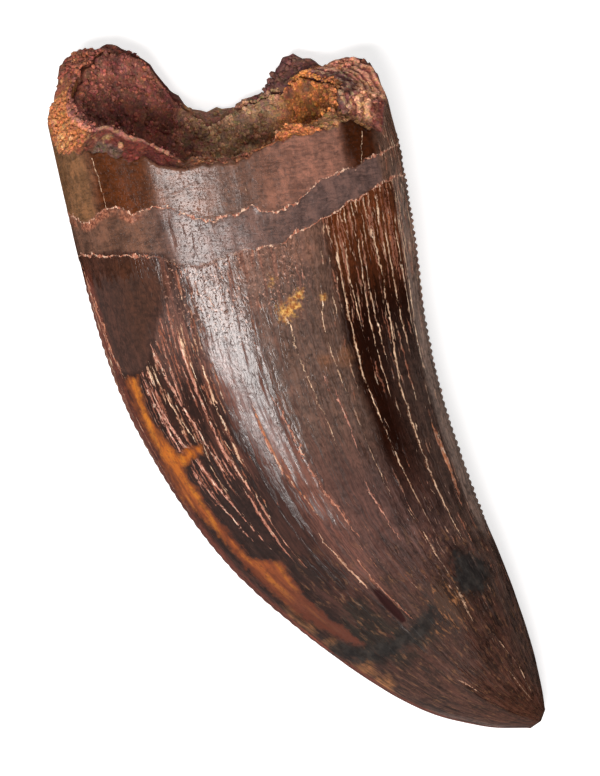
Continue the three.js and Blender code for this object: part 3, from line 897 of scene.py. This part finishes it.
SAND_COLUMNS = 260
SAND_FACE_ROWS = 100
SAND_BACK_ROWS = 5
GRAINS = 4600
RIM_GRAINS = 3200
GRAIN_RADII = (0.14, 0.46)
RIM_GRAIN_RADII = (0.12, 0.38)
GRAIN_BRIGHTNESS = 1.4  # of the crust round them
RIM_GRAIN_BRIGHTNESS = 1.3
UNEVEN_GRAINS = 0.4  # how far the brightness of one grain may be from the next
CRUST_SEED, GRAIN_SEED = 7, 11


def sand_face(angle, descent):
    """A point of the crust's lumpy face: descent runs from 0 at the rim to 1 at the plug."""
    start = read_rim(INNER_RIM, angle, INNER_SEED) + CRUST_START
    along = start + (CRUST_PLUG - start) * np.sin(descent * np.pi / 2)
    smooth_face = cavity_wall(along, angle, CRUST_GAP + CRUST_THICKNESS, CRUST_PLUG)
    bumps, _ = pebbles(smooth_face, 0.9, 3)
    lumps = 0.5 * rough_noise(smooth_face, 2.4, 51) + 0.4 * (bumps - 0.5)
    thin = 0.55 * smooth(0.12, 0.0, descent)
    inset = CRUST_GAP + CRUST_THICKNESS * (1 - thin) + 0.1 + lumps * (1 - thin)
    return cavity_wall(along, angle, inset, CRUST_PLUG)


def icosphere(divisions):
    ball = bmesh.new()
    bmesh.ops.create_icosphere(ball, subdivisions=divisions, radius=1)
    points = np.array([v.co for v in ball.verts])
    faces = np.array([[v.index for v in f.verts] for f in ball.faces])
    ball.free()
    return points, faces


def grain_radii(rng, count, limits):
    """Radii between two limits, most of them small."""
    return limits[0] + (limits[1] - limits[0]) * rng.random(count) ** 1.6


def grain_mesh(centres, radii, rng, divisions):
    """Rounded, unevenly squashed grains: points, faces and the number of the grain of each point."""
    ball, ball_faces = icosphere(divisions)
    count, size = len(centres), len(ball)
    turn = np.linalg.qr(rng.normal(size=(count, 3, 3)))[0]
    squash = rng.uniform(0.7, 1.15, (count, 1, 3))
    dents = 1 + 0.16 * rng.uniform(-1, 1, (count, size, 1))
    shapes = np.einsum("nij,nkj->nki", turn, ball * squash * dents) * radii[:, None, None]
    points = (shapes + centres[:, None]).reshape(-1, 3)
    faces = (ball_faces[None] + size * np.arange(count)[:, None, None]).reshape(-1, 3)
    return points, faces, np.repeat(np.arange(count), size)


def sand_tone(points):
    """Ochre and tan sand to the distal side, orange and maroon to the mesial side."""
    tone = np.tile(linear((146, 82, 66)), (len(points), 1))
    blotch = rough_noise(points, 3.0, 61)
    patch = rough_noise(points, 1.6, 66)
    _, each = pebbles(points, 0.9, 3)
    east = smooth(-13.0, -7.0, points[:, 0] + 3.0 * blotch + patch)
    far_east = smooth(-4.0, -0.5, points[:, 0] + 2.0 * blotch)
    paint(
        tone,
        ((176, 100, 66), 0.7 * (1 - east) * smooth(0.2, 0.55, patch)),
        ((112, 58, 50), (1 - east) * smooth(-0.1, 0.6, blotch)),
        ((206, 164, 126), east),
        ((150, 104, 76), east * smooth(0.1, 0.6, -patch)),
        ((196, 122, 66), far_east),
        ((204, 132, 64), far_east * smooth(0.1, 0.45, patch)),
        ((130, 80, 52), far_east * smooth(0.1, 0.6, -patch)),
    )
    return tone * (1 + 0.35 * each[:, None])


def build_sand():
    """The crust on the cavity wall, with the grains that are loose on the broken rim."""
    rng = np.random.default_rng(CRUST_SEED)
    angles = np.arange(SAND_COLUMNS) * 360 / SAND_COLUMNS
    descents = 1 - (np.arange(SAND_FACE_ROWS) + 1) / SAND_FACE_ROWS
    turn, descent = np.meshgrid(angles, descents, indexing="ij")
    front = sand_face(turn, descent)
    steps = np.arange(SAND_BACK_ROWS) / SAND_BACK_ROWS
    turn_back, step = np.meshgrid(angles, steps, indexing="ij")
    start = read_rim(INNER_RIM, turn_back, INNER_SEED) + CRUST_START
    along = start + (CRUST_BACK_END - start) * step
    back = cavity_wall(along, turn_back, CRUST_GAP, CRUST_BACK_END)
    columns = np.concatenate([front, back], 1)
    points = columns.reshape(-1, 3)
    poles = [cavity_wall(np.array(end), np.array(0.0), 0, end) for end in (CRUST_PLUG, CRUST_BACK_END)]
    numbers = [list(range(columns.shape[1]))] * SAND_COLUMNS
    faces = join_columns(numbers, len(points), len(points) + 1)
    points = np.concatenate([points, poles])
    tone = sand_tone(points)

    rim_turn = rim_angles(rng)
    rim_place = np.where(rng.random(RIM_GRAINS) < 0.25, rng.uniform(-0.14, 0.02, RIM_GRAINS),
                         rng.uniform(0.02, 0.9, RIM_GRAINS))
    inner = cavity_wall(read_rim(INNER_RIM, rim_turn, INNER_SEED), rim_turn, 0, CAVITY_END)
    outer = outside(read_rim(OUTER_RIM, rim_turn, OUTER_SEED), rim_turn)
    centres = inner + (outer - inner) * rim_place[:, None]
    radii = np.where(rim_place < 0.02, 0.6, 1.0) * grain_radii(rng, RIM_GRAINS, RIM_GRAIN_RADII)
    grains, grain_faces, owner = grain_mesh(centres, radii, rng, 1)
    shade = 1 + UNEVEN_GRAINS * rng.uniform(-1, 1, (RIM_GRAINS, 1))
    on_rim = smooth(0.0, 0.1, rim_place)[:, None]
    grain_tone = broken_tone(centres, rim_turn, rim_place) * on_rim + sand_tone(centres) * (1 - on_rim)
    grain_tone = (grain_tone * RIM_GRAIN_BRIGHTNESS * shade)[owner]

    all_faces = faces + (grain_faces + len(points)).tolist()
    piece = build_mesh("sand_crust", np.concatenate([points, grains]), all_faces)
    add_tone(piece.data, np.concatenate([tone, grain_tone]))
    return piece


def build_grains():
    """Rounded grains cemented on the crust, most of them on the wall that shows in the open end."""
    rng = np.random.default_rng(GRAIN_SEED)
    turn = (
        np.where(rng.random(GRAINS) < 0.85, rng.uniform(175, 365, GRAINS), rng.uniform(0, 180, GRAINS)) % 360)
    descent = rng.uniform(0, 0.85, GRAINS) ** 1.3
    centres = sand_face(turn, np.where(turn < 180, descent * 0.5, descent))
    radii = grain_radii(rng, GRAINS, GRAIN_RADII) * (0.68 + 0.32 * smooth(0.15, 0.5, descent))
    points, faces, owner = grain_mesh(centres, radii, rng, 1)
    shade = 1 + UNEVEN_GRAINS * rng.uniform(-1, 1, (GRAINS, 1))
    piece = build_mesh("sand_grains", points, faces.tolist())
    add_tone(piece.data, (sand_tone(centres) * GRAIN_BRIGHTNESS * shade)[owner])
    return piece


def rim_angles(rng):
    """Angles of grains on the broken face, most of them on its two grainy parts and its far peak."""
    grainy = (RIM_GRAINS * 2) // 5
    left, right = rng.uniform(150, 232, grainy), rng.uniform(-50, 100, grainy) % 360
    rest = RIM_GRAINS - 2 * grainy
    peak = rng.uniform(280, 322, rest // 2)
    return np.concatenate([left, right, peak, rng.uniform(0, 360, rest - rest // 2)])


# ---------------------------------------------------------------------------
# Materials
# ---------------------------------------------------------------------------


# Thin mineral lines of the enamel: spacing in mm, sway, seed, how many show, width in mm and slant.
HAIRS = (0.5, 1.5, 3.0, 0.3, 0.2, 0.0)
STRANDS = (1.2, 1.2, 8.0, 0.27, 0.26, 0.0)
STRAYS = (0.9, 0.8, 14.0, 0.22, 0.17, -0.16)
ENAMEL_SPECULAR = 0.42


class Value:
    """What a node gives, so that the sums and products of it read as formulas."""

    def __init__(self, nodes, socket):
        self.nodes, self.socket = nodes, socket

    def __add__(self, other):
        return self.nodes.math("ADD", self, other)

    def __sub__(self, other):
        return self.nodes.math("SUBTRACT", self, other)

    def __rsub__(self, other):
        return self.nodes.math("SUBTRACT", other, self)

    def __mul__(self, other):
        return self.nodes.math("MULTIPLY", self, other)

    def __truediv__(self, other):
        return self.nodes.math("DIVIDE", self, other)

    def __abs__(self):
        return self.nodes.math("ABSOLUTE", self)


class Nodes:
    """Short ways to build a node tree."""

    def __init__(self, name):
        self.material = bpy.data.materials.new(name)
        self.material.use_nodes = True
        self.tree = self.material.node_tree
        self.shader = self.tree.nodes["Principled BSDF"]

    def add(self, kind, settings=None, **inputs):
        node = self.tree.nodes.new("ShaderNode" + kind)
        for key, value in (settings or {}).items():
            setattr(node, key, value)
        for key, value in inputs.items():
            self.feed(node.inputs[key.replace("_", " ")], value)
        return node

    def feed(self, socket, value):
        if isinstance(value, Value):
            value = value.socket
        if isinstance(value, bpy.types.NodeSocket):
            self.tree.links.new(value, socket)
        elif isinstance(value, (tuple, list, np.ndarray)):
            value = list(value)
            socket.default_value = value + [1.0] if socket.type == "RGBA" and len(value) == 3 else value
        else:
            socket.default_value = value

    def math(self, operation, *values):
        node = self.add("Math", {"operation": operation})
        for socket, value in zip(node.inputs, values):
            self.feed(socket, value)
        return Value(self, node.outputs[0])

    def most(self, first, *others):
        for other in others:
            first = self.math("MAXIMUM", first, other)
        return first

    def least(self, first, second):
        return self.math("MINIMUM", first, second)

    def step(self, value, low, high):
        """0 at low, 1 at high, smoothly."""
        node = self.add("MapRange", {"interpolation_type": "SMOOTHSTEP"}, Value=value)
        node.inputs["From Min"].default_value = low
        node.inputs["From Max"].default_value = high
        return Value(self, node.outputs[0])

    def mix(self, factor, first, second, blend="MIX"):
        node = self.add("Mix", {"data_type": "RGBA", "blend_type": blend})
        self.feed(node.inputs[0], factor)
        self.feed(node.inputs[6], first)
        self.feed(node.inputs[7], second)
        return node.outputs[2]

    def layers(self, colour, layers):
        """Lays (amount, colour) after (amount, colour) over a colour."""
        for amount, layer in layers:
            colour = self.mix(amount, colour, layer)
        return colour

    def attribute(self, name, output="Vector"):
        return Value(self, self.add("Attribute", {"attribute_name": name}).outputs[output])

    def parts(self, vector):
        return [Value(self, part) for part in self.add("SeparateXYZ", Vector=vector).outputs]

    def stretched(self, vector, scale):
        node = self.add("VectorMath", {"operation": "MULTIPLY"}, Vector=vector)
        node.inputs[1].default_value = scale
        return node.outputs[0]

    def scaled(self, vector, scale):
        """A texture's vector and scale, for one scale or for one along and one round the tooth."""
        return (vector, scale) if isinstance(scale, float) else (self.stretched(vector, (*scale, 1)), 1.0)

    def noise(self, vector, scale, detail=3.0, roughness=0.55):
        vector, scale = self.scaled(vector, scale)
        node = self.add("TexNoise", Vector=vector, Scale=scale, Detail=detail, Roughness=roughness)
        return Value(self, node.outputs["Fac"])

    def cells(self, vector, scale, feature="F1", output="Distance"):
        vector, scale = self.scaled(vector, scale)
        node = self.add("TexVoronoi", {"feature": feature}, Vector=vector, Scale=scale)
        return Value(self, node.outputs[output])


def rgb(*colour):
    return tuple(float(c) for c in linear(colour))


def threads(n, flow, lined, spacing, sway, seed, presence, width, slant):
    """Broken lines that run down the tooth side by side: each comes and goes by a noise of its own.
    Gives their cores and the wider stain round them."""
    u, v, _ = n.parts(flow)
    drift = n.noise(flow, (0.035, 0.35), 2)
    v += u * slant
    number = v / spacing + (drift * sway + seed)
    wiggle = n.noise(flow, (0.7, 0.7), 4, 0.65)
    number += wiggle * (0.8 / spacing)
    line = n.math("FLOOR", number)
    aside = abs(n.math("FRACT", number) - 0.5)
    own = n.add("CombineXYZ", X=u * 0.24, Y=line * 5.17, Z=seed)
    life = n.noise(own.outputs[0], 1.0, 3, 0.6)
    alive = (life - (0.72 - lined * presence)) * 9.0
    alive = n.least(n.most(alive, 0.0), 1.0)
    ragged = n.noise(flow, (4.0, 6.0), 3, 0.65) * 4.6 - 1.35
    reach = alive * ragged * (width / spacing / 2)
    core = n.step(reach - aside, 0.0, 0.035 / spacing)
    stain = n.step(reach * 2.2 - aside, 0.0, 0.16 / spacing)
    return core, stain


def bend(n, flow):
    """The flow coordinates, gently wavy."""
    warp = n.add("TexNoise", Vector=n.stretched(flow, (0.9, 0.8, 1)), Scale=1.0, Detail=2.0)
    push = n.add("VectorMath", {"operation": "MULTIPLY_ADD"}, Vector=warp.outputs["Color"])
    push.inputs[1].default_value = (0.9, 0.9, 0)
    n.feed(push.inputs[2], flow)
    return push.outputs[0]


def hairlines(n, bent, bare):
    """Fine grooves of the crazed enamel: long ones down the tooth, short wavy ones across it."""
    down = n.step(n.cells(bent, (0.75, 3.0), "DISTANCE_TO_EDGE"), 0.11, 0.02)
    across = n.step(n.cells(bent, (2.6, 0.6), "DISTANCE_TO_EDGE"), 0.1, 0.02)
    where = n.noise(bent, (0.25, 0.5), 4, 0.65)
    down *= n.step(where, 0.4, 0.52)
    across *= n.step(where, 0.52, 0.4) * 0.3
    return n.most(down * (1.0 - bare * 0.7), across)


def enamel_measures(n):
    """What the material reads off the mesh, and the noises and tones that several of its looks share."""
    m = SimpleNamespace(tone=n.attribute("tone", "Color"), flow=n.attribute("flow"))
    m.number, m.width, m.tint = n.parts(n.attribute("crack"))
    m.dull, m.lined, m.bare = n.parts(n.attribute("finish"))
    m.over_root, m.over_enamel, m.crust = n.parts(n.attribute("zones"))
    m.ochre, m.film, m.hollow = n.parts(n.attribute("patches"))
    m.yellow, m.rust, m.worn = n.parts(n.attribute("stains"))
    m.matt = n.attribute("matt", "Fac")
    m.place = n.stretched(n.add("TexCoord").outputs["Object"], (1000, 1000, 1000))
    m.down, m.sideways, _ = n.parts(m.flow)
    m.bent = bend(n, m.flow)
    m.grooves = hairlines(n, m.bent, m.bare)
    m.fine = n.noise(m.bent, (0.22, 4.4), 4, 0.65)
    m.patchy = n.noise(m.flow, (0.16, 1.3), 4, 0.62)
    m.pore = n.noise(m.flow, (1.3, 3.4), 3, 0.6)
    m.flaked = n.noise(m.flow, (1.4, 3.0), 4, 0.7)
    m.rings = n.noise(m.bent, (4.5, 0.3), 3, 0.6)
    m.grit = n.noise(m.place, 3.2, 4, 0.6)
    m.mottled = n.noise(m.place, 1.8, 5, 0.65)
    m.frayed = n.noise(m.place, 1.5, 5, 0.65) * 1.3 - 0.65
    m.tipward = n.step(m.down, 42.0, 54.0)
    m.dark = n.mix(0.66, m.tone, rgb(20, 6, 3))
    m.light = n.mix(1.0, m.tone, (2.0, 1.75, 1.6), "MULTIPLY")
    return m


def streaked_ground(n, m):
    """Streaks that run down the tooth, blotches, pores and grooves."""
    broad = n.noise(m.flow, (0.06, 0.9), 4)
    blotch = n.noise(m.place, 0.45, 5, 0.6)
    streaked = n.most(m.lined, m.tipward * 0.45) * 0.8 + 0.2
    streaks = (m.fine - 0.5) * streaked + 0.5
    colour = n.mix(n.step(streaks, 0.49, 0.38), m.tone, m.dark)
    return n.layers(colour, [
        (n.step(streaks, 0.53, 0.66), m.light),
        (n.step(broad, 0.42, 0.75) * 0.5, m.light),
        (n.step(blotch, 0.5, 0.72) * 0.4, m.light),
        (n.step(blotch, 0.46, 0.3) * 0.5, m.dark),
        (n.step(m.mottled, 0.51, 0.64) * 0.4, m.light),
        (n.step(m.mottled, 0.49, 0.37) * 0.45, m.dark),
        (n.step(m.pore, 0.4, 0.27) * 0.8, m.dark),
        (m.grooves * 0.5, m.dark),
    ])


def tip_bands(n, m, colour):
    """Towards the tip: darker and redder bands, with a pale wear between them."""
    bands = n.noise(m.bent, (0.16, 1.3), 5, 0.7)
    cloud = n.noise(m.flow, (0.3, 0.45), 5, 0.7)
    pale = n.mix(1.0, m.tone, (2.8, 2.6, 2.5), "MULTIPLY")
    return n.layers(colour, [
        (n.step(bands, 0.52, 0.66) * m.tipward * 0.6, pale),
        (n.step(bands, 0.48, 0.34) * m.tipward * 0.8, rgb(28, 14, 10)),
        (n.step(cloud, 0.5, 0.62) * m.tipward * 0.35, rgb(88, 54, 44)),
        (n.step(cloud, 0.49, 0.38) * m.tipward * 0.55, rgb(34, 27, 24)),
    ])


def root_clouds(n, m, colour):
    """Bare root and collar: faint lines across, reddish and grey clouds."""
    clouds = n.noise(m.bent, (0.35, 0.5), 5, 0.65)
    return n.layers(colour, [
        (n.step(m.rings, 0.48, 0.34) * m.bare * 0.5, m.dark),
        (n.step(m.rings, 0.54, 0.68) * m.bare * 0.35, m.light),
        (n.step(clouds, 0.52, 0.64) * m.bare * 0.45, m.light),
        (n.step(clouds, 0.48, 0.36) * m.bare * 0.4, m.dark),
    ])


def worn_gloss(n, m, colour):
    """Where the gloss has worn off: reddish brown, with salmon fibres, pale flecks that are partly painted
    glints, and pits darkened partly as painted shade. Gives the colour, where it is scuffed and where it is
    pitted."""
    fleck_and_painted_glint = n.noise(m.flow, (3.4, 3.0), 3, 0.6)
    worse = m.patchy + n.step(m.down, 33.0, 44.0) * 0.09
    scuffed = n.step(worse, 0.5, 0.62) * m.worn
    colour = n.layers(colour, [
        (scuffed * 0.4, n.mix(n.step(m.fine, 0.4, 0.6), rgb(80, 46, 38), rgb(142, 88, 72))),
        # Pale flecks high on the crown: partly painted glints of the broken-up highlight.
        (n.step(fleck_and_painted_glint, 0.56, 0.68) * m.worn * n.step(m.down, 34.0, 27.0), rgb(172, 126, 106)),
    ])
    # Pits: rougher and lower, and darkened in colour, partly as painted shade.
    where_pitted = m.worn * (n.step(m.down, 34.0, 26.0) * n.step(m.patchy, 0.4, 0.5))
    where_pitted = n.most(where_pitted, m.bare * 0.5)
    pitted = n.step(n.noise(m.place, 4.4, 3, 0.65), 0.45, 0.36) * where_pitted
    return n.mix(pitted * 0.6, colour, rgb(62, 38, 31)), scuffed, pitted


def mineral_threads(n, m, shown):
    """Thin mineral lines: fine ones everywhere on the enamel, wider ones where it is most cracked. Gives
    the lines and the stain beside them."""
    hair, hair_stain = threads(n, m.flow, m.lined, *HAIRS)
    strand, strand_stain = threads(n, m.flow, m.lined, *STRANDS)
    stray, stray_stain = threads(n, m.flow, m.lined, *STRAYS)
    hair = hair * 0.75 * n.step(m.lined, 0.1, 0.9)
    strand = n.most(strand, stray)
    strand_stain = n.most(strand_stain, stray_stain * 0.8)
    return n.most(hair, strand) * shown, n.most(hair_stain * 0.5, strand_stain) * shown


def measured_cracks(n, m):
    """The measured cracks: mineral fills whose edges are ragged. Gives the fills and the stain beside
    them."""
    frays = n.noise(m.flow, (0.55, 2.4), 5, 0.75) * 7.0 - 2.6
    knobs = n.noise(m.flow, (3.2, 4.0), 3, 0.6) * 5.0 - 1.5
    ragged = n.least(frays, 1.45) * n.most(knobs, 0.3)
    wiggle = n.noise(m.flow, (1.0, 0.5), 4, 0.65)
    number = m.number + (wiggle * 0.5 - 0.25)
    aside = abs(number - n.math("ROUND", number))
    fill_width = m.width * ragged * (n.step(m.tint, 0.4, 0.9) * 0.7 + 0.5)
    return n.step(fill_width - aside, 0.0, 0.014), n.step(fill_width * 2.0 - aside, 0.0, 0.07)


def lay_mineral(n, m, colour, threaded, fill, stained):
    """The colours of the mineral, from cream to orange, over the stain beside it."""
    ruddy = n.mix(n.step(m.tint, 0.3, 1.2), rgb(108, 60, 34), rgb(112, 56, 42))
    colour = n.mix(stained * 0.5, colour, ruddy)
    mineral = n.mix(n.step(m.tint, 0.5, 1.0), rgb(226, 190, 156), rgb(198, 138, 118))
    mineral = n.mix(n.step(m.tint, 1.1, 1.6), mineral, rgb(176, 108, 66))
    mineral = n.mix(n.step(m.flaked, 0.52, 0.66), mineral, rgb(248, 226, 200))
    mineral = n.mix(n.step(m.flaked, 0.46, 0.34), mineral, n.mix(0.75, mineral, rgb(120, 58, 34)))
    mineral = n.mix(n.step(m.down, 38.0, 52.0) * 0.4, mineral, rgb(150, 104, 80))
    paler = n.step(n.noise(m.flow, (0.5, 2.0), 3, 0.6), 0.45, 0.62)
    return n.layers(colour, [
        (threaded * 0.85, n.mix(paler, rgb(140, 84, 62), mineral)),
        (fill * (paler * 0.45 + 0.55), mineral),
    ])


def stains(n, m, colour):
    """Yellow blotches, and the rusty ground near the tip."""
    blotched = n.step(m.yellow + m.frayed * 2.2, -0.4, 0.5)
    colour = n.mix(
        blotched * 0.85, colour, n.mix(n.step(m.grit, 0.42, 0.6), rgb(158, 92, 34), rgb(224, 172, 92)))
    rusted = n.step(m.rust + m.frayed * 6.0, -0.6, 1.2)
    colour = n.mix(
        rusted * 0.8, colour, n.mix(n.step(m.patchy, 0.42, 0.6), rgb(42, 32, 28), rgb(70, 49, 37)))
    crumb = n.noise(m.bent, (0.7, 1.4), 5, 0.7)
    colour = n.mix(rusted * (n.step(crumb, 0.52, 0.64) * 0.8), colour, rgb(142, 92, 58))
    flecks = n.step(crumb, 0.54, 0.66) * n.step(m.down, 47.0, 54.0)
    return n.mix(flecks * 0.4, colour, rgb(134, 94, 64))


def bare_dentine(n, m, colour, threaded):
    """Ochre dentine where the enamel has gone, with a dark line round it that is partly painted shade."""
    mottle = n.noise(m.flow, (0.25, 0.8), 4, 0.6)
    earth = n.mix(n.step(m.down, 38.0, 46.0), rgb(176, 92, 0), rgb(142, 68, 20))
    earth = n.mix(n.step(m.down, 47.0, 57.0), earth, rgb(84, 42, 30))
    earth = n.mix(
        n.step(mottle, 0.48, 0.62) * n.step(m.down, 60.0, 44.0), earth,
        n.mix(0.55, rgb(204, 126, 14), earth))
    earth = n.layers(earth, [
        (n.step(mottle, 0.48, 0.36) * 0.7, rgb(88, 40, 18)),
        (n.step(m.mottled, 0.48, 0.36) * 0.5, rgb(76, 34, 14)),
        (n.step(m.grit, 0.42, 0.28) * 0.5, rgb(60, 26, 12)),
        (threaded * 0.35, rgb(176, 104, 60)),
    ])
    depth = m.ochre + m.frayed
    earth = n.mix(n.step(depth, 0.75, 0.1) * 0.75, earth, rgb(84, 36, 16))
    colour = n.mix(n.step(depth, -0.2, 0.3), colour, earth)
    # A dark line round the ochre hollow: partly its own darker edge, partly painted shade at the step down
    # into it.
    dark_edge_and_painted_shade = n.step(abs(depth + 0.25), 0.35, 0.1)
    return n.mix(dark_edge_and_painted_shade * 0.2, colour, rgb(30, 12, 7))


def seam_lines(n, m):
    """Thin pale lines where the root, the collar and the enamel meet."""
    line_noise = n.noise(m.place, 1.1, 5, 0.75)
    thin = n.step(n.noise(m.place, 0.7, 3, 0.6), 0.4, 0.5) * 0.07
    seam = n.most(thin, line_noise * 1.6 - 0.77)
    jag = n.noise(m.place, 1.4, 4, 0.7) * 1.2 - 0.6
    root_seam = n.step(seam - abs(m.over_root + jag), -0.01, 0.04)
    enamel_seam = n.step(seam - abs(m.over_enamel + jag), -0.02, 0.04)
    middle = n.step(m.sideways, 10.5, 13.0) * n.step(m.sideways, 23.0, 20.0)
    return n.most(root_seam, enamel_seam * (1.0 - middle * 0.8))


def enamel_material():
    """The skin of the tooth: enamel, collar, bare root, and all that lies on them."""
    n = Nodes("fossil_enamel")
    m = enamel_measures(n)
    shown = 1.0 - m.dull * 0.4
    threaded, stained = mineral_threads(n, m, shown)
    fill, edge_stain = measured_cracks(n, m)
    seams = seam_lines(n, m)

    colour = root_clouds(n, m, tip_bands(n, m, streaked_ground(n, m)))
    colour, scuffed, pitted = worn_gloss(n, m, colour)
    colour = lay_mineral(n, m, colour, threaded, fill, n.most(stained, edge_stain))
    colour = bare_dentine(n, m, stains(n, m, colour), threaded)
    # Black film, the dark red hollow, and crumbs and pale lines at the seams.
    crumbs = n.mix(n.step(m.grit, 0.4, 0.6), rgb(110, 56, 40), rgb(188, 120, 90))
    tar = n.mix(n.step(n.noise(m.place, 0.9, 5, 0.6), 0.4, 0.66), rgb(22, 19, 18), rgb(44, 40, 37))
    filmed = n.step(m.film + m.frayed * 2.0, -0.5, 0.45)
    colour = n.layers(colour, [
        (filmed * 0.9, tar),
        (n.step(m.hollow, -0.1, 0.15), rgb(40, 8, 6)),
        (m.crust * 0.75, crumbs),
        (seams * 0.85, n.mix(n.step(m.flaked, 0.46, 0.6), rgb(170, 100, 74), rgb(236, 198, 170))),
    ])
    n.feed(n.shader.inputs["Base Color"], colour)
    n.shader.inputs["Specular IOR Level"].default_value = ENAMEL_SPECULAR

    filled = n.most(fill, seams, threaded)
    streaky = (m.fine - 0.5) * 2.6 + (m.patchy * 2.4 - 1.2)
    matted = n.step(m.matt + streaky, 0.3, 0.7) * shown
    rough = m.grit * 0.1 + 0.2 + n.most(filmed, scuffed) * 0.3 + matted * 0.8
    rough = rough + m.bare * 0.06 + pitted * 0.45 + filled * 0.2
    n.feed(n.shader.inputs["Roughness"], rough)

    # Heights in millimetres: ridges along the tooth and wrinkles across it, fine and broad unevenness,
    # pores, grooves, the rings of the bare root, and what is filled or pitted.
    ridged = n.noise(m.bent, (0.3, 3.0), 1)
    wrinkle = n.noise(m.bent, (3.0, 0.8), 1)
    height = ridged * (m.lined * 0.02 + 0.01) + wrinkle * 0.008 + n.noise(m.place, 2.4, 1) * 0.003
    height = height + n.step(m.pore, 0.26, 0.42) * 0.008 - m.grooves * 0.007
    height = height + n.noise(m.place, 0.6, 2) * 0.03 + m.rings * m.bare * 0.02
    height += (filled - pitted) * 0.02
    bump = n.add("Bump", Height=height, Strength=1.0, Distance=MM)
    n.feed(n.shader.inputs["Normal"], bump.outputs[0])
    return n.material


def grainy_material(name, painted_glints):
    """Sand and broken dentine: the point colours with speckle, a fine grit that is darker in its low spots,
    partly as painted shade, with painted glints on its high spots, and a dull gloss.
    """
    n = Nodes(name)
    tone = n.attribute("tone", "Color")
    place = n.stretched(n.add("TexCoord").outputs["Object"], (1000, 1000, 1000))
    grit = n.noise(place, 5.0, 4, 0.65)
    speckle = n.cells(place, 3.0, "F1", "Color")
    # Darker where the grit is low: partly the darker sand between grains, partly painted shade in the
    # hollows.
    colour = n.mix(n.step(grit, 0.35, 0.65), n.mix(0.55, tone, rgb(46, 20, 14)), tone)
    colour = n.mix(0.25, colour, speckle, "SOFT_LIGHT")
    # Pale specks where the grit is high: painted glints.
    colour = n.mix(n.step(grit, 0.62, 0.75) * painted_glints, colour, rgb(232, 200, 150))
    n.feed(n.shader.inputs["Base Color"], colour)
    n.feed(n.shader.inputs["Roughness"], grit * 0.4 + 0.45)
    height = grit + n.cells(place, 2.2) * 0.6
    bump = n.add("Bump", Height=height, Strength=0.7, Distance=0.15 * MM)
    n.feed(n.shader.inputs["Normal"], bump.outputs[0])
    return n.material


# ---------------------------------------------------------------------------
# Stage, light and camera
# ---------------------------------------------------------------------------

CAMERA_HEIGHT = 1.0
CAMERA_PLACE = (0.00023, -0.00012)
PICTURE_HEIGHT = 0.0776  # what the picture spans at the height of the cutting edges
PICTURE_LEVEL = 0.009
SENSOR = 36.0
WARM_WHITE = (1.0, 0.95, 0.93)
PAPER_GREY, PAPER_GLOW = 0.6, 0.64
WORLD_GLOW = 0.2


def build_stage():
    """White paper under the tooth."""
    bpy.ops.mesh.primitive_plane_add(size=6, location=(0, 0, -0.00002))
    floor = bpy.context.object
    floor.name = "floor"
    paper = bpy.data.materials.new("white_paper")
    paper.use_nodes = True
    shader = paper.node_tree.nodes["Principled BSDF"]
    shader.inputs["Base Color"].default_value = (PAPER_GREY, PAPER_GREY, PAPER_GREY, 1)
    shader.inputs["Roughness"].default_value = 0.9
    shader.inputs["Specular IOR Level"].default_value = 0.1
    shader.inputs["Emission Color"].default_value = (1, 1, 1, 1)
    shader.inputs["Emission Strength"].default_value = PAPER_GLOW
    floor.data.materials.append(paper)
    floor.visible_glossy = False


def add_softbox(name, direction, distance, size, radiance):
    """A softbox (width, height) that faces the tooth from a direction, with the brightness it shows."""
    light = bpy.data.lights.new(name, "AREA")
    light.shape = "RECTANGLE"
    light.size, light.size_y = size
    light.color = WARM_WHITE
    light.energy = radiance * math.pi * size[0] * size[1]
    lamp = bpy.data.objects.new(name, light)
    aim = Vector(direction).normalized()
    side = Vector((0, 1, 0)).cross(aim).normalized()
    lamp.location = aim * distance
    lamp.rotation_euler = Matrix((side, aim.cross(side), aim)).transposed().to_euler()
    bpy.context.scene.collection.objects.link(lamp)
    return lamp


def build_lights():
    """A softbox whose reflection is the highlight on the crown, and a weak fill."""
    world = bpy.data.worlds.new("studio")
    world.use_nodes = True
    world.node_tree.nodes["Background"].inputs["Color"].default_value = (1, 1, 1, 1)
    world.node_tree.nodes["Background"].inputs["Strength"].default_value = WORLD_GLOW
    bpy.context.scene.world = world
    world.cycles_visibility.glossy = False
    add_softbox("softbox", direction=(-0.21, -0.33, 1.0), distance=1.3, size=(0.66, 0.34), radiance=30.0)
    fill = add_softbox("fill", direction=(0.3, 0.5, 1.0), distance=1.6, size=(1.6, 1.6), radiance=0.7)
    fill.visible_glossy = False


def build_camera():
    """A camera that looks straight down from far off, framed as the photo is."""
    camera = bpy.data.cameras.new("camera")
    camera.sensor_width = SENSOR
    camera.lens = SENSOR * (CAMERA_HEIGHT - PICTURE_LEVEL) / PICTURE_HEIGHT
    camera.clip_start = 0.01
    view = bpy.data.objects.new("camera", camera)
    view.location = (*CAMERA_PLACE, CAMERA_HEIGHT)
    bpy.context.scene.collection.objects.link(view)
    bpy.context.scene.camera = view


# ---------------------------------------------------------------------------
# The model
# ---------------------------------------------------------------------------

bpy.context.scene.view_settings.view_transform = "Standard"
build_stage()
build_lights()
build_camera()

tooth = build_tooth()
tooth.data.materials.append(enamel_material())
tooth.data.materials.append(grainy_material("broken_dentine", 0.25))
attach(tooth, "root")
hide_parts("tooth")

cemented_sand = grainy_material("cemented_sand", 0.6)
grains = build_grains()
grains.data.materials.append(cemented_sand)
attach(grains, "root")

sand = build_sand()
sand.data.materials.append(cemented_sand)
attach(sand, "root")
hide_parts("sandstone_lining")
